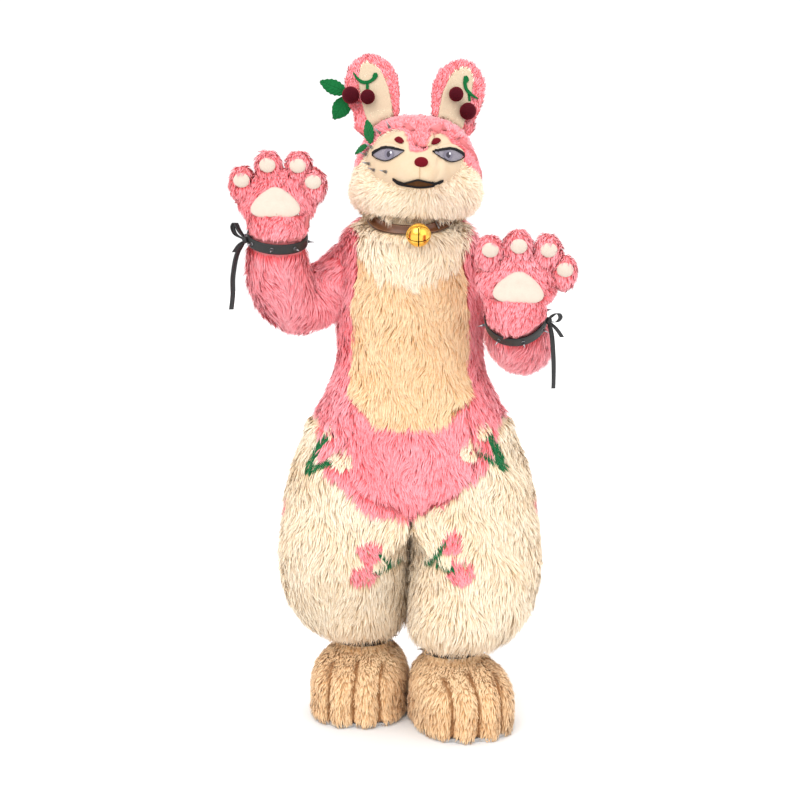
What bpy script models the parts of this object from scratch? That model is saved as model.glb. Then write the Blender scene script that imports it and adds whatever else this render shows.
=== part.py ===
# A rabbit costume as it is worn: head, bodysuit, hand paws, feet paws, collar and straps.
# Metres, +Z up, front towards -Y. Heights in the tables are measured from the floor.
# The origin is the middle of the shoulders that carry the suit.

import math
from collections import namedtuple

import bpy
import bmesh
from mathutils import Matrix, Vector

HOLD_HEIGHT = 1.40        # floor to the shoulders that carry the suit
FUR = 0.012               # backing and pile of the body fur
HEAD_WALL = 0.018         # foam and fur of the head
FOOT_WALL = 0.022         # foam and fur of the feet
SEAM = 0.0004             # gap between neighbouring pieces
EDGE_GAP = 0.0003         # half the gap at a panel's upper and lower edges
SIDE_GAP = 0.07           # degrees from a front panel's side edge to its seam
NECK_GAP = 0.0007         # between the neck and the head that sits on it
CROTCH = 0.60             # height where the legs part
ROUND = 2.3               # exponent of the body's rounded outlines
STRAP = 0.003             # thickness of collar and straps
SPIKE_LENGTH = 0.020
SPIKE_RADIUS = 0.0045
SPIKE_TIP = 0.0006
FACE_SPIKE_LENGTH = 0.026
SOLE_THICKNESS = 0.010
EAR_PANEL = 0.003
RIBBON = 0.0012           # thickness of the satin, with its folded edge
RIBBON_WIDTH = 0.014
COLLAR = 0.0035
BUCKLE_DEGREES = 46.0
BELL_X = 0.022
BELL_RADIUS = 0.033
BELL_WALL = 0.0012
BELL_PIN_HEIGHT = 1.441
BELL_LEAN = math.radians(56.0)
PIN_OUT = 0.007
PIN_HALF = 0.006
PIN_RADIUS = 0.0015
EYE_RADIUS = 0.0033
EYE_WIRE = 0.0011
BELL_REACH = BELL_RADIUS + 0.0075
SLIT = 0.0026

PINK = (0.93, 0.30, 0.36)
CREAM = (0.90, 0.80, 0.60)
PEACH = (0.88, 0.66, 0.42)
TAN = (0.80, 0.56, 0.32)
PAD = (0.86, 0.76, 0.66)
CHERRY = (0.16, 0.01, 0.03)
GREEN = (0.01, 0.22, 0.07)
BLACK = (0.01, 0.01, 0.01)
LEATHER = (0.22, 0.09, 0.02)
SILVER = (0.75, 0.75, 0.76)
GOLD = (0.95, 0.60, 0.08)
GREY = (0.35, 0.33, 0.38)
SOLE = (0.45, 0.43, 0.42)

Ring = namedtuple("Ring", "height half_width front back rise")
TRUNK = [
    Ring(0.20, 0.250, 0.120, 0.130, 0.0),
    Ring(0.25, 0.335, 0.175, 0.190, 0.0),
    Ring(0.33, 0.372, 0.198, 0.215, 0.0),
    Ring(0.42, 0.390, 0.206, 0.226, 0.0),
    Ring(0.50, 0.388, 0.206, 0.228, 0.0),
    Ring(0.61, 0.371, 0.200, 0.222, 0.0),
    Ring(0.72, 0.354, 0.192, 0.214, 0.0),
    Ring(0.81, 0.323, 0.184, 0.200, 0.0),
    Ring(0.90, 0.280, 0.174, 0.180, 0.0),
    Ring(0.99, 0.234, 0.160, 0.155, 0.0),
    Ring(1.05, 0.213, 0.152, 0.142, 0.0),
    Ring(1.12, 0.209, 0.150, 0.134, 0.0),
    Ring(1.20, 0.208, 0.151, 0.130, 0.0),
    Ring(1.30, 0.206, 0.152, 0.128, 0.0),
    Ring(1.38, 0.202, 0.146, 0.124, 0.03),
    Ring(1.425, 0.190, 0.139, 0.118, 0.12),
    Ring(1.455, 0.160, 0.135, 0.110, 0.26),
    Ring(1.470, 0.122, 0.132, 0.100, 0.36),
    Ring(1.484, 0.103, 0.130, 0.088, 0.40),
    Ring(1.505, 0.098, 0.128, 0.081, 0.40),
    Ring(1.525, 0.097, 0.125, 0.079, 0.40),
]
NECK_TOP = 1.525

# The legs leave the trunk's outline below the crotch and close on the ankles.
Leg = namedtuple("Leg", "height outer inner front back round")
LEG = [
    Leg(0.222, 0.0885, -0.0885, 0.0885, 0.0885, 1.0),
    Leg(0.238, 0.150, -0.110, 0.135, 0.140, 1.0),
    Leg(0.270, 0.190, -0.135, 0.175, 0.190, 1.0),
    Leg(0.330, 0.225, -0.142, 0.198, 0.215, 0.96),
    Leg(0.420, 0.240, -0.145, 0.206, 0.226, 0.80),
    Leg(0.500, 0.238, -0.148, 0.206, 0.228, 0.52),
    Leg(0.560, 0.230, -0.149, 0.204, 0.226, 0.22),
    Leg(CROTCH, 0.222, -0.150, 0.201, 0.223, 0.0),
]
HEM = LEG[0].height
LEG_ROWS = 7
HIP_GAP = 0.0012          # below the slanting hip seam
LEG_GAP = 0.0006          # half the gap between the two legs
Stance = namedtuple("Stance", "side ankle_x ankle_y turn")
STANCE = [Stance(-1, -0.142, 0.105, -5.0), Stance(1, 0.128, -0.015, 15.0)]

SideSeam = namedtuple("SideSeam", "height degrees")
SIDE_SEAM = [
    SideSeam(0.92, 34.0), SideSeam(0.96, 39.0), SideSeam(1.02, 47.0), SideSeam(1.12, 51.0),
    SideSeam(1.22, 50.0), SideSeam(1.31, 46.0), SideSeam(1.39, 45.0), SideSeam(1.44, 52.0),
    SideSeam(1.48, 60.0), SideSeam(NECK_TOP, 64.0),
]
HipSeam = namedtuple("HipSeam", "degrees height")
HIP_LEVEL = 0.80          # height whose side seam sets the columns of the hips
HIP_SEAM = [
    HipSeam(0.0, 0.632), HipSeam(6.0, 0.655), HipSeam(16.0, 0.685), HipSeam(25.0, 0.740),
    HipSeam(34.0, 0.805), HipSeam(48.0, 0.870), HipSeam(68.0, 0.900), HipSeam(90.0, 0.912),
]
BibHem = namedtuple("BibHem", "share height")
BIB_HEM = [
    BibHem(-1.00, 1.390), BibHem(-0.80, 1.352), BibHem(-0.60, 1.335), BibHem(-0.42, 1.300),
    BibHem(-0.30, 1.316), BibHem(-0.15, 1.300), BibHem(0.00, 1.280), BibHem(0.16, 1.306),
    BibHem(0.32, 1.300), BibHem(0.48, 1.318), BibHem(0.62, 1.330), BibHem(0.80, 1.345),
    BibHem(1.00, 1.390),
]
BELLY_BOTTOM = 0.894
BELLY_SIDE = 0.965
BIB_SIDE = BIB_HEM[0].height
SIDES = ("left", "right")
BODY_ROWS = 5             # rows of the belly
NECK_ROWS = 5             # rows of the shoulders and neck
FRONT_COLUMNS = [row.share for row in BIB_HEM]
BACK_COLUMNS = [34.0, 52.0, 72.0, 90.0, 108.0, 130.0, 154.0, 180.0]

Bezier = namedtuple("Bezier", "side shoulder pull_down pull_up wrist hand_up")
ARMS = [
    Bezier(-1, Vector((-0.128, 0.005, 1.372)), Vector((-0.265, 0.010, 1.215)),
           Vector((-0.395, -0.060, 1.150)), Vector((-0.366, -0.165, 1.435)),
           Vector((0.0, -0.10, 1.0))),
    Bezier(1, Vector((0.128, 0.005, 1.372)), Vector((0.350, 0.060, 1.180)),
           Vector((0.318, -0.080, 1.010)), Vector((0.279, -0.295, 1.215)),
           Vector((0.05, -0.15, 1.0))),
]
SleeveRing = namedtuple("SleeveRing", "share radius")
SLEEVE = [
    SleeveRing(0.00, 0.074), SleeveRing(0.25, 0.082), SleeveRing(0.50, 0.088),
    SleeveRing(0.75, 0.088), SleeveRing(0.92, 0.082), SleeveRing(1.00, 0.080),
]
SLEEVE_COLUMNS = 12
CUFF_COLUMNS = 24
CUFF_START = 0.954
CUFF_END = 0.984

Lobe = namedtuple("Lobe", "across up forward radius")
FINGERS = {
    -1: [Lobe(-0.0915, 0.139, 0.012, 0.036), Lobe(-0.021, 0.179, 0.010, 0.037),
         Lobe(0.061, 0.1775, 0.010, 0.037), Lobe(0.102, 0.1345, 0.016, 0.034)],
    1: [Lobe(-0.080, 0.173, 0.016, 0.035), Lobe(-0.006, 0.186, 0.010, 0.038),
        Lobe(0.073, 0.180, 0.010, 0.037), Lobe(0.120, 0.130, 0.012, 0.034)],
}
PALM = Vector((0.112, 0.056, 0.092))
PALM_UP = 0.084
GLOVE_WALL = 0.012
FINGER_ROOM = 14.0        # how far the glove's wall draws the fingers' hollows to the palm

HeadRing = namedtuple("HeadRing", "height half_width front back")
HEAD = [
    HeadRing(1.478, 0.080, 0.105, 0.070), HeadRing(1.474, 0.115, 0.140, 0.095),
    HeadRing(1.486, 0.155, 0.165, 0.118), HeadRing(1.512, 0.182, 0.180, 0.134),
    HeadRing(1.548, 0.190, 0.188, 0.142), HeadRing(1.590, 0.184, 0.190, 0.146),
    HeadRing(1.632, 0.175, 0.188, 0.146), HeadRing(1.672, 0.161, 0.178, 0.138),
    HeadRing(1.708, 0.140, 0.156, 0.120), HeadRing(1.738, 0.105, 0.116, 0.090),
    HeadRing(1.754, 0.060, 0.066, 0.054), HeadRing(1.760, 0.022, 0.024, 0.020),
]
HEAD_TURN = math.radians(4.0)
HEAD_TILT = math.radians(2.5)
HEAD_PIVOT = Vector((0.014, -0.020, 1.50))
MUZZLE_OUT = 0.054
MUZZLE_HEIGHT = 1.580
MUZZLE_HALF_WIDTH = 0.078
MUZZLE_HALF_HEIGHT = 0.056
FaceSeam = namedtuple("FaceSeam", "degrees row")
FACE_SEAM = [
    FaceSeam(0.0, 6.55), FaceSeam(7.0, 6.75), FaceSeam(13.0, 7.85), FaceSeam(22.0, 8.10),
    FaceSeam(36.0, 7.35), FaceSeam(52.0, 6.70), FaceSeam(68.0, 5.90), FaceSeam(86.0, 4.80),
    FaceSeam(104.0, 3.60), FaceSeam(125.0, 2.60), FaceSeam(150.0, 2.00), FaceSeam(180.0, 1.80),
]
HEAD_COLUMNS = [0, 7, 13, 22, 36, 52, 68, 86, 104, 125, 150, 180]

Ear = namedtuple("Ear", "side base tip turn")
EARS = [
    Ear(-1, Vector((-0.080, 0.004, 1.690)), Vector((-0.128, 0.010, 1.924)), -6.0),
    Ear(1, Vector((0.108, 0.004, 1.678)), Vector((0.160, 0.010, 1.909)), 14.0),
]
EarRing = namedtuple("EarRing", "share half_width half_depth")
EAR = [
    EarRing(0.00, 0.044, 0.024), EarRing(0.34, 0.067, 0.023),
    EarRing(0.58, 0.079, 0.020), EarRing(0.74, 0.076, 0.018), EarRing(0.87, 0.061, 0.015),
    EarRing(0.95, 0.040, 0.011), EarRing(0.99, 0.018, 0.006),
]


Eye = namedtuple("Eye", "x z half_width half_height slant brow_x brow_z")
EYES = [
    Eye(-0.060, 1.637, 0.040, 0.019, 0.003, -0.031, 1.674),
    Eye(0.103, 1.634, 0.040, 0.019, -0.003, 0.069, 1.671),
]
Mouth = namedtuple("Mouth", "x z half_width smile drop")
MOUTH = Mouth(0.019, 1.560, 0.066, 0.010, 0.013)
NOSE = (0.028, 1.612)
FACE_SPIKES = [(-0.057, 1.712), (-0.084, 1.696), (-0.108, 1.660), (-0.121, 1.638),
               (-0.115, 1.613), (-0.100, 1.597), (-0.068, 1.590)]
Cherry = namedtuple("Cherry", "x z radius")
CHERRIES = {
    -1: [Cherry(-0.170, 1.826, 0.0265), Cherry(-0.121, 1.811, 0.0225)],
    1: [Cherry(0.131, 1.813, 0.0225), Cherry(0.165, 1.776, 0.0260)],
}
Stop = namedtuple("Stop", "x z width")
STEMS = {
    -1: [Stop(-0.160, 1.878, 0.003), Stop(-0.150, 1.862, 0.007), Stop(-0.135, 1.851, 0.010),
         Stop(-0.118, 1.851, 0.009), Stop(-0.104, 1.859, 0.010), Stop(-0.099, 1.868, 0.015),
         Stop(-0.099, 1.876, 0.008)],
    1: [Stop(0.155, 1.868, 0.008), Stop(0.157, 1.858, 0.016), Stop(0.154, 1.848, 0.010),
        Stop(0.157, 1.834, 0.009), Stop(0.166, 1.822, 0.010), Stop(0.180, 1.812, 0.007),
        Stop(0.192, 1.806, 0.003)],
}
Leaf = namedtuple("Leaf", "name base tip half_width")
EAR_LEAVES = [
    Leaf("upper", (0.004, -0.002, 0.008), (-0.072, -0.004, 0.040), 0.020),
    Leaf("lower", (0.008, 0.008, -0.004), (-0.036, 0.008, -0.066), 0.025),
]
TEMPLE_LEAVES = [
    Leaf("upper", (-0.104, 1.672), (-0.112, 1.734), 0.019),
    Leaf("lower", (-0.114, 1.664), (-0.150, 1.638), 0.012),
]
RIBBONS = {
    -1: [[(0, -0.004, 0.003), (-0.016, -0.006, 0.026), (-0.026, -0.008, 0.046),
          (-0.034, -0.004, 0.034), (-0.026, 0.000, 0.014), (-0.003, 0.003, 0.002)],
         [(0, -0.002, -0.003), (-0.016, -0.008, -0.014), (-0.030, -0.008, -0.034)],
         [(0, 0.002, -0.002), (-0.024, 0.008, -0.040), (-0.036, 0.004, -0.100),
          (-0.038, 0.010, -0.150), (-0.042, 0.006, -0.192)]],
    1: [[(0, -0.004, 0.003), (0.012, -0.008, 0.016), (0.024, -0.010, 0.020),
         (0.030, -0.006, 0.008), (0.020, 0.000, -0.004), (0.003, 0.003, -0.002)],
        [(0, -0.002, -0.003), (0.018, -0.008, -0.020), (0.036, -0.008, -0.044)],
        [(0, 0.002, -0.002), (0.010, 0.008, -0.040), (0.014, 0.004, -0.100),
         (0.016, 0.010, -0.150), (0.016, 0.006, -0.184)]],
}


def rows_between(low, high, count):
    return [low + (high - low) * i / count for i in range(count + 1)]


BODY_LEVELS = (rows_between(BELLY_SIDE, BIB_SIDE, BODY_ROWS)
               + rows_between(BIB_SIDE, NECK_TOP, NECK_ROWS)[1:])


def clear_scene():
    for thing in list(bpy.data.objects):
        bpy.data.objects.remove(thing)


def collection(name):
    made = bpy.data.collections.new(name)
    bpy.context.scene.collection.children.link(made)
    return made


def material(name, colour, roughness=0.9, metallic=0.0):
    made = bpy.data.materials.new(name)
    made.use_nodes = True
    shader = made.node_tree.nodes["Principled BSDF"]
    shader.inputs["Base Color"].default_value = (*colour, 1.0)
    shader.inputs["Roughness"].default_value = roughness
    shader.inputs["Metallic"].default_value = metallic
    return made


def at(table, column, place):
    """One column of a table at a place in its first column, on a smooth curve."""
    places = [row[0] for row in table]
    values = [getattr(row, column) for row in table]
    if place <= places[0]:
        return values[0]
    if place >= places[-1]:
        return values[-1]
    steps = [(values[i + 1] - values[i]) / (places[i + 1] - places[i])
             for i in range(len(places) - 1)]

    def slope(i):
        if i in (0, len(places) - 1):
            return steps[0] if i == 0 else steps[-1]
        before, after = steps[i - 1], steps[i]
        return 0.0 if before * after <= 0 else 2 * before * after / (before + after)

    i = max(k for k in range(len(places) - 1) if places[k] <= place)
    span = places[i + 1] - places[i]
    t = (place - places[i]) / span
    return ((1 + 2 * t) * (1 - t) ** 2 * values[i] + t * (1 - t) ** 2 * span * slope(i)
            + t * t * (3 - 2 * t) * values[i + 1] + t * t * (t - 1) * span * slope(i + 1))


def blend(low, high, share):
    return low + (high - low) * share


def smooth_step(share):
    share = min(1.0, max(0.0, share))
    return share * share * (3 - 2 * share)


def power(value, exponent):
    return math.copysign(abs(value) ** exponent, value)


def oval(degrees, half_width, front, back, exponent=ROUND):
    """A point of a rounded outline, 0 degrees in front and 90 at +X."""
    s, c = math.sin(math.radians(degrees)), math.cos(math.radians(degrees))
    depth = front if c > 0 else back
    return half_width * power(s, 2 / exponent), -depth * power(c, 2 / exponent)


def trunk(degrees, height):
    x, y = oval(degrees, at(TRUNK, "half_width", height), at(TRUNK, "front", height),
                at(TRUNK, "back", height))
    return Vector((x, y, height + at(TRUNK, "rise", height) * y))


def leg(stance):
    """One leg's surface: degrees 0 in front, 90 outside, 180 behind, 270 inside.

    The left leg counts its degrees below zero, so that its outside still faces out.
    """
    side = stance.side

    def surface(signed_degrees, height):
        degrees = (signed_degrees * side) % 360
        if height >= CROTCH and degrees <= 180:
            point = trunk(degrees, height)
            return Vector((side * max(point.x, LEG_GAP), point.y, point.z))
        front, back = at(LEG, "front", height), at(LEG, "back", height)
        rounding = at(LEG, "round", height)
        down = smooth_step((CROTCH - height) / (CROTCH - HEM))
        outer, inner = at(LEG, "outer", height), at(LEG, "inner", height)
        middle = (outer + inner) / 2
        x, y = oval(degrees, (outer - inner) / 2, front, back, blend(ROUND, 2.0, down))
        axis = blend(0.150, abs(stance.ankle_x), down)
        round_point = Vector((axis + middle + x, y, height))
        if degrees <= 180:
            flat = trunk(degrees, height)
        else:
            share = (degrees - 180) / 180
            flat = Vector((0.0, blend(back, -front, share), height))
        point = flat.lerp(round_point, rounding)
        lean = stance.ankle_y * smooth_step((CROTCH - height) / (CROTCH - 0.25))
        return Vector((side * max(point.x, LEG_GAP), point.y + lean, point.z))

    return surface


def sleeve(arm):
    """The surface of one bent sleeve: degrees round it, share along it."""
    p0, p1, p2, p3 = arm.shoulder, arm.pull_down, arm.pull_up, arm.wrist
    flat = (p1 - p0).cross(p3 - p2).normalized()

    def surface(degrees, share):
        t, s = share, 1 - share
        centre = p0 * s ** 3 + p1 * 3 * s * s * t + p2 * 3 * s * t * t + p3 * t ** 3
        along = ((p1 - p0) * s * s + (p2 - p1) * 2 * s * t + (p3 - p2) * t * t).normalized()
        across = flat.cross(along).normalized()
        radius = at(SLEEVE, "radius", share)
        turn = math.radians(degrees)
        return centre + (across * math.cos(turn) + flat * math.sin(turn)) * radius

    return surface


def head(degrees, row):
    """The head's surface: degrees round it, row counts the rings from the neck up."""
    low = min(int(row), len(HEAD) - 2)
    share = row - low
    numbered = [(i,) + ring for i, ring in enumerate(HEAD)]
    table = [NumberedRing(*ring) for ring in numbered[max(0, low - 1):low + 3]]
    place = low + share
    width, front = at(table, "half_width", place), at(table, "front", place)
    back, height = at(table, "back", place), at(table, "height", place)
    x, y = oval(degrees, width, front, back, 2.15)
    if y < 0:
        shape = ((x / MUZZLE_HALF_WIDTH) ** 2
                 + ((height - MUZZLE_HEIGHT) / MUZZLE_HALF_HEIGHT) ** 2)
        y -= MUZZLE_OUT * math.exp(-shape ** 1.6) * min(1.0, -y / 0.10)
    point = Vector((x + HEAD_PIVOT.x, y - 0.012, height))
    turn = Matrix.Rotation(HEAD_TURN, 3, "Z") @ Matrix.Rotation(HEAD_TILT, 3, "Y")
    return turn @ (point - HEAD_PIVOT) + HEAD_PIVOT


NumberedRing = namedtuple("NumberedRing", "row height half_width front back")


def ear(one):
    """The surface of one ear: degrees round it, share from its base to its tip."""
    along = (one.tip - one.base).normalized()
    front = Matrix.Rotation(math.radians(one.turn), 3, "Z") @ Vector((0, -1, 0))
    front = (front - along * front.dot(along)).normalized()
    across = along.cross(front).normalized()

    def surface(degrees, share):
        turn = math.radians(degrees)
        wide = at(EAR, "half_width", share) * math.sin(turn)
        deep = at(EAR, "half_depth", share) * math.cos(turn)
        if deep > 0:
            deep *= 0.45
        curve = 0.012 * math.sin(math.pi * share)
        return (one.base + (one.tip - one.base) * share
                + across * wide + front * (deep - curve))

    return surface


def foot(stance):
    """The surface of one foot: degrees 0 at the toes, row counts the rings from the sole."""
    spin = Matrix.Rotation(math.radians(stance.turn), 3, "Z")
    ankle = Vector((stance.ankle_x, stance.ankle_y, 0))

    def surface(degrees, row):
        inset, height = at(FOOT, "inset", row), at(FOOT, "height", row)
        x, y = foot_outline(degrees, 1 - smooth_step(inset / 0.45))
        tube_x, tube_y = oval(degrees, ANKLE_RADIUS, ANKLE_RADIUS, ANKLE_RADIUS, 2.0)
        local = Vector((blend(x, tube_x, inset), blend(y, tube_y, inset), height))
        return spin @ local + ankle

    return surface


FootRing = namedtuple("FootRing", "row inset height")
FOOT = [
    FootRing(0, 0.00, 0.0104), FootRing(1, -0.03, 0.052), FootRing(2, 0.00, 0.100),
    FootRing(3, 0.12, 0.134), FootRing(4, 0.42, 0.158), FootRing(5, 0.80, 0.176),
    FootRing(6, 1.00, 0.188), FootRing(7, 1.00, 0.232),
]
ANKLE_RADIUS = 0.085
TOE_REACH = 0.262
HEEL_REACH = 0.118
TOE_HALF_WIDTH = 0.148
HEEL_HALF_WIDTH = 0.104
TOE_GROOVES = (-0.072, 0.0, 0.072)
TOE_GROOVE_DEPTH = 0.016
ANKLE_CUFF_ROWS = (6.06, 6.64)
ANKLE_SPIKES = (22, 64, 95, 135, 225, 265, 296, 338)
FOOT_COLUMNS = [0, 7, 14, 22, 29, 36, 46, 64, 95, 135, 180]


def foot_outline(degrees, grooved):
    c = math.cos(math.radians(degrees))
    width = blend(HEEL_HALF_WIDTH, TOE_HALF_WIDTH, smooth_step((c + 0.9) / 1.5))
    x, y = oval(degrees, width, TOE_REACH, HEEL_REACH, 2.7)
    if y < 0:
        for groove in TOE_GROOVES:
            y += (TOE_GROOVE_DEPTH * grooved * min(1.0, -y / 0.18)
                  * math.exp(-((x - groove) / 0.013) ** 2))
    return x, y


def normal(surface, a, b):
    """Outward direction of a surface, from the four points around a place on it."""
    step_a, step_b = 1.0, 0.004
    across = surface(a + step_a, b) - surface(a - step_a, b)
    up = surface(a, b + step_b) - surface(a, b - step_b)
    return across.cross(up).normalized()


def mesh_object(name, mesh, finish, place):
    made = bpy.data.objects.new(name, mesh)
    if finish:
        mesh.materials.append(finish)
    place.objects.link(made)
    if place is cutters:
        made.hide_render = True
        made.display_type = "WIRE"
    made.parent = wearer
    return made


def quad(b, low, low_next, high_next, high):
    """Two triangles, always split the same way so that pieces on each other agree."""
    for corners in ((low, low_next, high_next), (low, high_next, high)):
        if len(set(corners)) == 3:
            b.faces.new(corners)


def wall(name, surface, grid, outer, inner, finish, ring=False, pole=None, shift=Vector()):
    """A closed wall between two offsets of a surface, over a grid of its places.

    grid holds rows of (a, b) places. A ring closes each row on itself, and a pole
    closes the last row on one point. shift moves the whole wall.
    """
    b = bmesh.new()
    layers = []
    for offset in (outer, inner):
        layer = []
        for row in grid:
            points = []
            for a, h in row:
                points.append(b.verts.new(surface(a, h) + normal(surface, a, h) * offset + shift))
            layer.append(points)
        if pole:
            layer.append([b.verts.new(pole[0] + pole[1] * offset)])
        layers.append(layer)
    columns = len(grid[0])
    spans = columns if ring else columns - 1

    def pick(row, i):
        return row[0] if len(row) == 1 else row[i % columns]

    for layer in layers:
        for low, high in zip(layer, layer[1:]):
            for i in range(spans):
                quad(b, pick(low, i), pick(low, i + 1), pick(high, i + 1), pick(high, i))
    ends = [0] if pole else [0, -1]
    for end in ends:
        out, back = layers[0][end], layers[1][end]
        for i in range(spans):
            quad(b, pick(out, i), pick(out, i + 1), pick(back, i + 1), pick(back, i))
    if not ring:
        for edge in (0, columns - 1):
            out = [pick(row, edge) for row in layers[0]]
            back = [pick(row, edge) for row in layers[1]]
            for i in range(len(out) - 1):
                quad(b, out[i], out[i + 1], back[i + 1], back[i])
    return finish_mesh(b, name, finish, suit)


def filled(name, surface, grid, offset, pole=None):
    """A closed cutter: a ring surface moved out by an offset, with its ends capped."""
    b = bmesh.new()
    rows = [[b.verts.new(surface(a, h) + normal(surface, a, h) * offset) for a, h in row]
            for row in grid]
    count = len(rows[0])
    for low, high in zip(rows, rows[1:]):
        for i in range(count):
            j = (i + 1) % count
            quad(b, low[i], low[j], high[j], high[i])
    b.faces.new(rows[0])
    if pole:
        tip = b.verts.new(pole)
        for i in range(count):
            b.faces.new((rows[-1][i], rows[-1][(i + 1) % count], tip))
    else:
        b.faces.new(rows[-1])
    return finish_mesh(b, name, None, cutters)


def finish_mesh(b, name, finish, place=None):
    bmesh.ops.recalc_face_normals(b, faces=b.faces)
    mesh = bpy.data.meshes.new(name)
    b.to_mesh(mesh)
    b.free()
    mesh.shade_smooth()
    return mesh_object(name, mesh, finish, place or suit)


def ellipsoid(name, centre, radii, finish=None, place=None, turn=None, segments=12, rings=8):
    b = bmesh.new()
    bmesh.ops.create_uvsphere(b, u_segments=segments, v_segments=rings, radius=1.0)
    shape = Matrix.Diagonal((*radii, 1.0))
    spin = turn.to_4x4() if turn else Matrix.Identity(4)
    bmesh.ops.transform(b, matrix=Matrix.Translation(centre) @ spin @ shape, verts=b.verts)
    return finish_mesh(b, name, finish, place)


def rod(name, start, end, start_radius, end_radius, finish=None, place=None, sides=8):
    b = bmesh.new()
    along = end - start
    bmesh.ops.create_cone(b, cap_ends=True, segments=sides, radius1=start_radius,
                          radius2=end_radius, depth=along.length)
    spin = Vector((0, 0, 1)).rotation_difference(along).to_matrix().to_4x4()
    middle = Matrix.Translation((start + end) / 2)
    bmesh.ops.transform(b, matrix=middle @ spin, verts=b.verts)
    return finish_mesh(b, name, finish, place)


def change(thing, operation, others):
    """Cuts other bodies away from a piece, or joins them to it."""
    for other in others:
        step = thing.modifiers.new(other.name, "BOOLEAN")
        step.operation = operation
        step.solver = "EXACT"
        step.object = other


def side_seam(height):
    return at(SIDE_SEAM, "degrees", height)


def hip(degrees):
    """The hip seam's height, the same in front and behind and on both sides."""
    turned = abs(degrees) if abs(degrees) <= 180 else 360 - abs(degrees)
    return at(HIP_SEAM, "height", min(turned, 180 - turned))


def belly_edge(share):
    return blend(BELLY_BOTTOM, BELLY_SIDE, abs(share) ** 3)


def bib_hem(share):
    return at(BIB_HEM, "height", share)


def seat(share):
    return hip(share * side_seam(HIP_LEVEL))


def between(low, high, count):
    """Heights in equal steps between two curved edges, for any share of the front."""
    def heights(share):
        return rows_between(low(share) + EDGE_GAP, high(share) - EDGE_GAP, count)

    return heights


def bib_heights(share):
    return [bib_hem(share) + EDGE_GAP] + BODY_LEVELS[BODY_ROWS + 1:]


def front_panel(name, shares, heights, finish):
    """A front panel: shares of the way to the side seam, and its heights at each."""
    columns = []
    for i, share in enumerate(shares):
        inward = SIDE_GAP if i == 0 else -SIDE_GAP if i == len(shares) - 1 else 0.0
        columns.append([(share * side_seam(height) + inward, height) for height in heights(share)])
    return wall(name, trunk, list(zip(*columns)), 0.0, -FUR, finish)


def bodysuit_front():
    left = [share for share in FRONT_COLUMNS if share <= 0]
    right = [share for share in FRONT_COLUMNS if share >= 0]
    front_panel("pelvis_front", FRONT_COLUMNS, between(seat, belly_edge, 3), pink)
    front_panel("belly_left", left, between(belly_edge, bib_hem, BODY_ROWS), peach)
    front_panel("belly_right", right, between(belly_edge, bib_hem, BODY_ROWS), peach)
    front_panel("chest_bib", FRONT_COLUMNS, bib_heights, cream)


def trunk_back():
    grid = []
    for share in rows_between(0.0, 1.0, 3)[:-1]:
        first = side_seam(blend(hip(BACK_COLUMNS[0]), BELLY_SIDE, share))
        grid.append([(degrees, blend(hip(level) + SEAM, BELLY_SIDE, share))
                     for degrees, level in zip(back_degrees(first), back_degrees(BACK_COLUMNS[0]))])
    for height in BODY_LEVELS:
        grid.append([(degrees, height) for degrees in back_degrees(side_seam(height))])
    back = wall("trunk_back", trunk, grid, 0.0, -FUR, pink)
    change(back, "DIFFERENCE", [bpy.data.objects[f"sleeve_{name}_hollow"] for name in SIDES])


def legs():
    front = [share * side_seam(HIP_LEVEL) for share in FRONT_COLUMNS if share >= 0]
    outer = front + BACK_COLUMNS[1:]
    inner = [blend(180.0, 360.0, i / 6) for i in range(7)]
    # Rows lie closer together where the leg closes on the ankle.
    rows = [(i / LEG_ROWS) ** 1.7 for i in range(LEG_ROWS + 1)]
    crotch = CROTCH - 0.002
    share_below = (crotch - HEM) / (hip(0) - HIP_GAP - HEM)
    for stance, name in zip(STANCE, SIDES):
        surface = leg(stance)
        grid = [[(degrees * stance.side, blend(HEM, hip(degrees) - HIP_GAP, share))
                 for degrees in outer] for share in [row * share_below for row in rows] + [1.0]]
        ankle = [[(degrees, row) for degrees in foot_columns()] for row in (5, 6, 7)]
        room = filled(f"ankle_{name}_room", foot(stance), ankle, SEAM)
        panel = wall(f"leg_{name}_outer", surface, grid, 0.0, -FUR, cream)
        change(panel, "DIFFERENCE", [room])
        grid = [[(degrees * stance.side, blend(HEM, crotch, share))
                 for degrees in inner] for share in rows]
        apart = Vector((-stance.side * SEAM, 0, 0))
        panel = wall(f"leg_{name}_inner", surface, grid, 0.0, -FUR, cream, shift=apart)
        change(panel, "DIFFERENCE", [room])


def around(count, start=0.0):
    return [start + 360 * i / count for i in range(count)]


def back_degrees(first):
    """The back panel's columns from the right side seam round to the left one."""
    shares = [(degrees - BACK_COLUMNS[0]) / (180 - BACK_COLUMNS[0]) for degrees in BACK_COLUMNS]
    half = [blend(first, 180, share) for share in shares]
    return half + [360 - degrees for degrees in reversed(half[:-1])]


def body_shape(name, levels, offset):
    """The filled trunk between two levels, on the same points as its panels."""
    grid = []
    for height in levels:
        seam = side_seam(height)
        front = [share * seam for share in FRONT_COLUMNS]
        grid.append([(degrees, height) for degrees in front + back_degrees(seam)[1:-1]])
    return filled(name, trunk, grid, offset)


def sleeves():
    body = body_shape("body_shape", BODY_LEVELS, SEAM)
    for arm, name in zip(ARMS, SIDES):
        surface = sleeve(arm)
        shares = rows_between(0.0, CUFF_START, 9) + [CUFF_END, 1.0]
        grid = [[(degrees, share) for degrees in around(SLEEVE_COLUMNS)] for share in shares]
        wall(f"sleeve_{name}", surface, grid, 0.0, -FUR, pink, ring=True)
        filled(f"sleeve_{name}_hollow", surface, grid, -FUR)
        change(bpy.data.objects[f"sleeve_{name}"], "DIFFERENCE", [body])


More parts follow.
